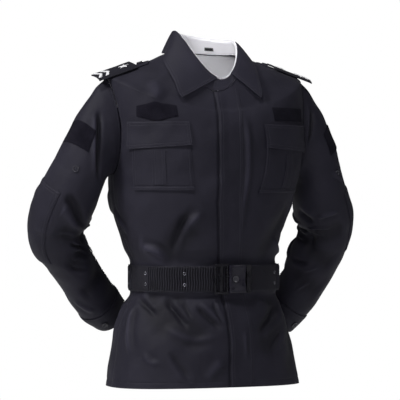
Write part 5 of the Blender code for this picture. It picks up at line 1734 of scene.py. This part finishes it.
# %% Tab, yoke lining and label
TAB_SHIFT, TAB_LIFT = 0.004, 0.0019
x = np.linspace(PLACKET_RIGHT, PLACKET_LEFT, 21)[None, :] + TAB_SHIFT
turn = np.degrees(x / FOLD_FRONT) + FRONT
share = np.linspace(0.04, 0.96, 11)[:, None]
sewn("collar_tab_cloth", stand_surface(turn, share, -TAB_LIFT), around(turn + 0 * share),
     held="laid", rests_on=("collar_stand_cloth",), thick=0.0009)

share = np.linspace(-1, 1, 73)[None, :] * 0.80
level = np.linspace(-0.100, NECK_LEVEL, 30)[:, None] - 0.0015
grid = body_points(BACK + share * 90, level, -0.0031)
sewn("yoke_lining_cloth", grid, -body_normals(BACK + share * 90, level + 0 * share), LINING,
     "lining", rests_on=("back_panel",), thick=0.0008, sew="e")

turn = np.linspace(52, 68, 15)[None, :]
share = np.linspace(0.16, 0.42, 13)[:, None]
grid = stand_surface(turn, share, LINING_DEEP + LABEL_LIFT)
sewn("neck_label_cloth", grid, -around(turn + 0 * share), LABEL, "label", "laid",
     ("collar_lining_cloth",), thick=0.0006)

# %% [markdown]
# ## Belt
#
# The belt is stiff webbing with cross ribs and nine pairs of eyelets, 35 degrees apart. It is
# one grid round the waist. The ribs are in the grid itself. They fade out beside the buckle,
# and on a short stretch where the strap lies double.

# %% Belt webbing
BELT_WIDTH, BELT_CLOTH, BELT_CLEAR = 0.057, 0.0036, 0.0069
BELT_ENDS = (0.040, 0.012)
RIB_PITCH, RIB_HEIGHT = 0.0056, 0.0011
SMOOTH_START, DOUBLED = 0.110, (0.182, 0.250)


def belt_surface(turn, height, lift):
    """Points round the belt. Height runs from -0.5 at its lower edge to 0.5."""
    turn, height = np.broadcast_arrays(np.radians(turn), np.asarray(height, float))
    side, out = np.cos(turn), np.sin(turn)
    middle = np.array(BELT_LEVEL)
    half = body_column("half_width", middle) + BELT_CLEAR + lift
    depth = of_side(out < 0, "", middle)
    fuller = fullness(side, out)
    across = body_column("lean", middle) + half * side * fuller
    around_it = (depth + BELT_CLEAR + lift) * out * fuller
    return np.stack((across, around_it, BELT_LEVEL + height * BELT_WIDTH), axis=-1)


def belt_turn(x):
    half = body_column("half_width", np.array(BELT_LEVEL)) + BELT_CLEAR
    return FRONT + math.degrees(math.asin((x - body_column("lean", np.array(BELT_LEVEL))) / half))


def belt_out(turn):
    run = belt_surface(turn + 0.1, 0.0, 0.0) - belt_surface(turn - 0.1, 0.0, 0.0)
    return unit(np.stack((run[..., 1], -run[..., 0], 0 * run[..., 0]), axis=-1))


start, end = belt_turn(BELT_ENDS[0]), belt_turn(BELT_ENDS[1]) + 360
turn = np.linspace(start, end, 1301)[None, :]
height = np.linspace(-0.5, 0.5, 21)[:, None]
run = lengths(belt_surface(turn, 0.0 * turn, BELT_CLOTH), 1)
ribs = RIB_HEIGHT * np.tanh(1.6 * np.sin((run / RIB_PITCH + 0.10 * np.sin(9.0 * height)) * 2 * math.pi))
to_end = run[:, -1:] - run
doubled = smooth_step((to_end - DOUBLED[0]) / 0.006) * smooth_step((DOUBLED[1] - to_end) / 0.006)
ribs = ribs * smooth_step((run - SMOOTH_START) / 0.010) * (1 - doubled)
ribs = ribs * smooth_step((0.44 - np.abs(height)) / 0.03)
lift = BELT_CLOTH + ribs - 0.0008 * np.exp(-(0.5 - np.abs(height)) * BELT_WIDTH / 0.0010)
grid = belt_surface(turn, height, lift)
out = belt_out(turn) + 0 * grid
# The rib heights are stored as fold, which paints shade into the troughs between the ribs.
sewn("belt_webbing", grid, out, WEBBING, "webbing", "stretched",
     ("back_panel", "front_left_panel", "front_right_panel"), thick=0.0030, sew="e", fold=ribs)

# %% Eyelets
EYELET_RADIUS, EYELET_PITCH, EYELET_PAIRS = 0.0036, 35.0, 9
FIRST_EYELET_X, EYELET_ROWS = -0.081, (-0.21, 0.21)
EyeletRing = namedtuple("EyeletRing", "shrink rise")
EYELET_RINGS = (
    EyeletRing(0.82, 0.00054),
    EyeletRing(0.66 / 0.82, 0.00036),
    EyeletRing(0.60 / 0.66, -0.0014),
)
eyelet = start_shape(
    bpy.ops.mesh.primitive_circle_add, "eyelet_pattern", vertices=24, radius=EYELET_RADIUS,
    fill_type="NOTHING",
)
edit(eyelet, "EDGE", lambda e: True)
for ring in EYELET_RINGS:
    bpy.ops.mesh.extrude_region_move(TRANSFORM_OT_translate={"value": (0, 0, ring.rise)})
    bpy.ops.transform.resize(value=(ring.shrink, ring.shrink, 1.0), center_override=(0, 0, 0))
# A face closes the hole, and its middle faces carry painted shadow.
bpy.ops.mesh.edge_face_add()
leave()
wall = eyelet.modifiers.new("wall", "SOLIDIFY")
wall.thickness, wall.offset = 0.0004, 0.0
soft = eyelet.modifiers.new("soft", "SUBSURF")
soft.levels = soft.render_levels = 1
apply_all(eyelet)
eyelet.data.shade_smooth()
eyelet.data.materials.append(EYELET_METAL)
eyelet.data.materials.append(EYELET_HOLE_SHADOW)
for face in eyelet.data.polygons:
    if math.hypot(*face.center[:2]) < 0.55 * EYELET_RADIUS:
        face.material_index = 1
first = belt_turn(FIRST_EYELET_X)
made = []
for step in range(EYELET_PAIRS):
    for row in EYELET_ROWS:
        place = first - step * EYELET_PITCH
        out = belt_out(np.array(place))
        point = belt_surface(place, row, BELT_CLOTH + 0.0004)
        made.append(place_copy(eyelet, f"eyelet_{step}_{'low' if row < 0 else 'high'}", point, out))
bpy.data.objects.remove(eyelet)
only(made[0])
for piece in made:
    piece.select_set(True)
bpy.ops.object.join()
eyelets = bpy.context.object
eyelets.name = "belt_eyelets"
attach(eyelets, "root")
print("eyelets:", len(made))

# %% [markdown]
# ## Buckle
#
# Four moulded parts close the belt: a ladder frame that the strap is laced through, a body,
# the round release button in it, and the tongue that the body holds. Three start as boxes and
# the release button as a disc. They are cut, inset and bevelled from there.

# %% Buckle parts
FRAME_X, FRAME_HEIGHT, FRAME_DEPTH = (-0.023, 0.0076), 0.065, 0.006
CLASP_X, CLASP_HEIGHT, CLASP_DEPTH = (0.0086, 0.0475), 0.060, 0.010
TONGUE_X, TONGUE_DEPTH = (0.0486, 0.0600), 0.008
RELEASE_X = 0.022
RELEASE_ASIDE = RELEASE_X - sum(CLASP_X) / 2
BUCKLE_GAP = 0.0005


def lie_on_belt(piece, x, depth):
    """Lay a part that was made round the origin on the belt's front, facing out."""
    start = belt_surface(belt_turn(sum(x) / 2), 0.0, BELT_CLOTH + BUCKLE_GAP)
    run = belt_surface(belt_turn(x[1]), 0.0, 0.0) - belt_surface(belt_turn(x[0]), 0.0, 0.0)
    turn = math.atan2(run[1], run[0])
    away = Vector((math.sin(turn), -math.cos(turn), 0.0))
    moved = Matrix.Translation(Vector(start) + away * depth / 2)
    piece.matrix_world = moved @ Matrix.Rotation(turn, 4, "Z")
    return settle(piece)


def box(name, width, depth, height, place=(0, 0, 0)):
    made = start_shape(bpy.ops.mesh.primitive_cube_add, name, size=1.0)
    made.data.transform(Matrix.Translation(place) @ Matrix.Diagonal((width, depth, height, 1.0)))
    return made


def disc(name, radius, depth, place=(0, 0, 0), vertices=48):
    """A round part or tool whose axis points out of the buckle."""
    return start_shape(
        bpy.ops.mesh.primitive_cylinder_add, name, vertices=vertices, radius=radius, depth=depth,
        rotation=(math.pi / 2, 0, 0), location=place,
    )


def shape_front(piece, *steps):
    """Inset the front face step by step, and move it in or out after each inset."""
    edit(piece, "FACE", lambda f: f.normal.y < -0.9)
    for thickness, inwards in steps:
        bpy.ops.mesh.inset(thickness=thickness)
        bpy.ops.transform.translate(value=(0, inwards, 0))
    leave()


def soften(piece, width, segments=3):
    bevel = piece.modifiers.new("soft", "BEVEL")
    bevel.width, bevel.segments, bevel.limit_method = width, segments, "ANGLE"
    bevel.angle_limit = math.radians(40)
    apply_all(piece)
    piece.data.shade_smooth()
    piece.data.set_sharp_from_angle(angle=math.radians(35))
    return piece


width = FRAME_X[1] - FRAME_X[0]
ladder = box("buckle_ladder", width, FRAME_DEPTH, FRAME_HEIGHT)
for place in (-0.24, 0.24):
    carve(ladder, box("slot", 0.32 * width, 0.03, FRAME_HEIGHT - 0.010, (place * width, 0, 0)))
for place in (-0.42, 0.0, 0.42):
    for height in np.linspace(-0.4, 0.4, 9):
        ridge = box("ridge", 0.10 * width, 0.0012, 0.0018,
                    (place * width, -FRAME_DEPTH / 2, height * FRAME_HEIGHT))
        carve(ladder, ridge)
soften(ladder, 0.0009)
lie_on_belt(ladder, FRAME_X, FRAME_DEPTH)

width = CLASP_X[1] - CLASP_X[0]
clasp = box("buckle_clasp", width, CLASP_DEPTH, CLASP_HEIGHT)
shape_front(clasp, (0.0035, -0.0009), (0.0022, 0.0008))
carve(clasp, disc("bow", 0.060, 0.03, (width / 2 + 0.0575, 0, 0), 96))
carve(clasp, disc("well", 0.0082, 0.004, (RELEASE_ASIDE, -CLASP_DEPTH / 2, 0)))
soften(clasp, 0.0012)
lie_on_belt(clasp, CLASP_X, CLASP_DEPTH)

tongue = box("buckle_tongue_part", TONGUE_X[1] - TONGUE_X[0], TONGUE_DEPTH, CLASP_HEIGHT)
shape_front(tongue, (0.0024, 0.0010))
soften(tongue, 0.0008)
lie_on_belt(tongue, TONGUE_X, TONGUE_DEPTH)

release = disc("buckle_release", 0.0072, 0.0046)
release.data.transform(release.matrix_world)
release.matrix_world = Matrix.Identity(4)
shape_front(release, (0.0016, 0.0006), (0.0022, 0.0004))
soften(release, 0.0005)
release.data.transform(Matrix.Translation((RELEASE_ASIDE, -CLASP_DEPTH / 2 + 0.0008, 0)))
lie_on_belt(release, CLASP_X, CLASP_DEPTH)

for piece, node_name, plastic in (
    (ladder, "buckle_frame", BUCKLE_PLASTIC), (clasp, "buckle_body", CLASP_PLASTIC),
    (tongue, "buckle_tongue", BUCKLE_PLASTIC), (release, "buckle_button", RELEASE_PLASTIC),
):
    piece.data.materials.append(plastic)
    keep(piece, [node_name])
print("buckle:", {p.name: len(p.data.polygons) for p in (ladder, clasp, tongue, release)})
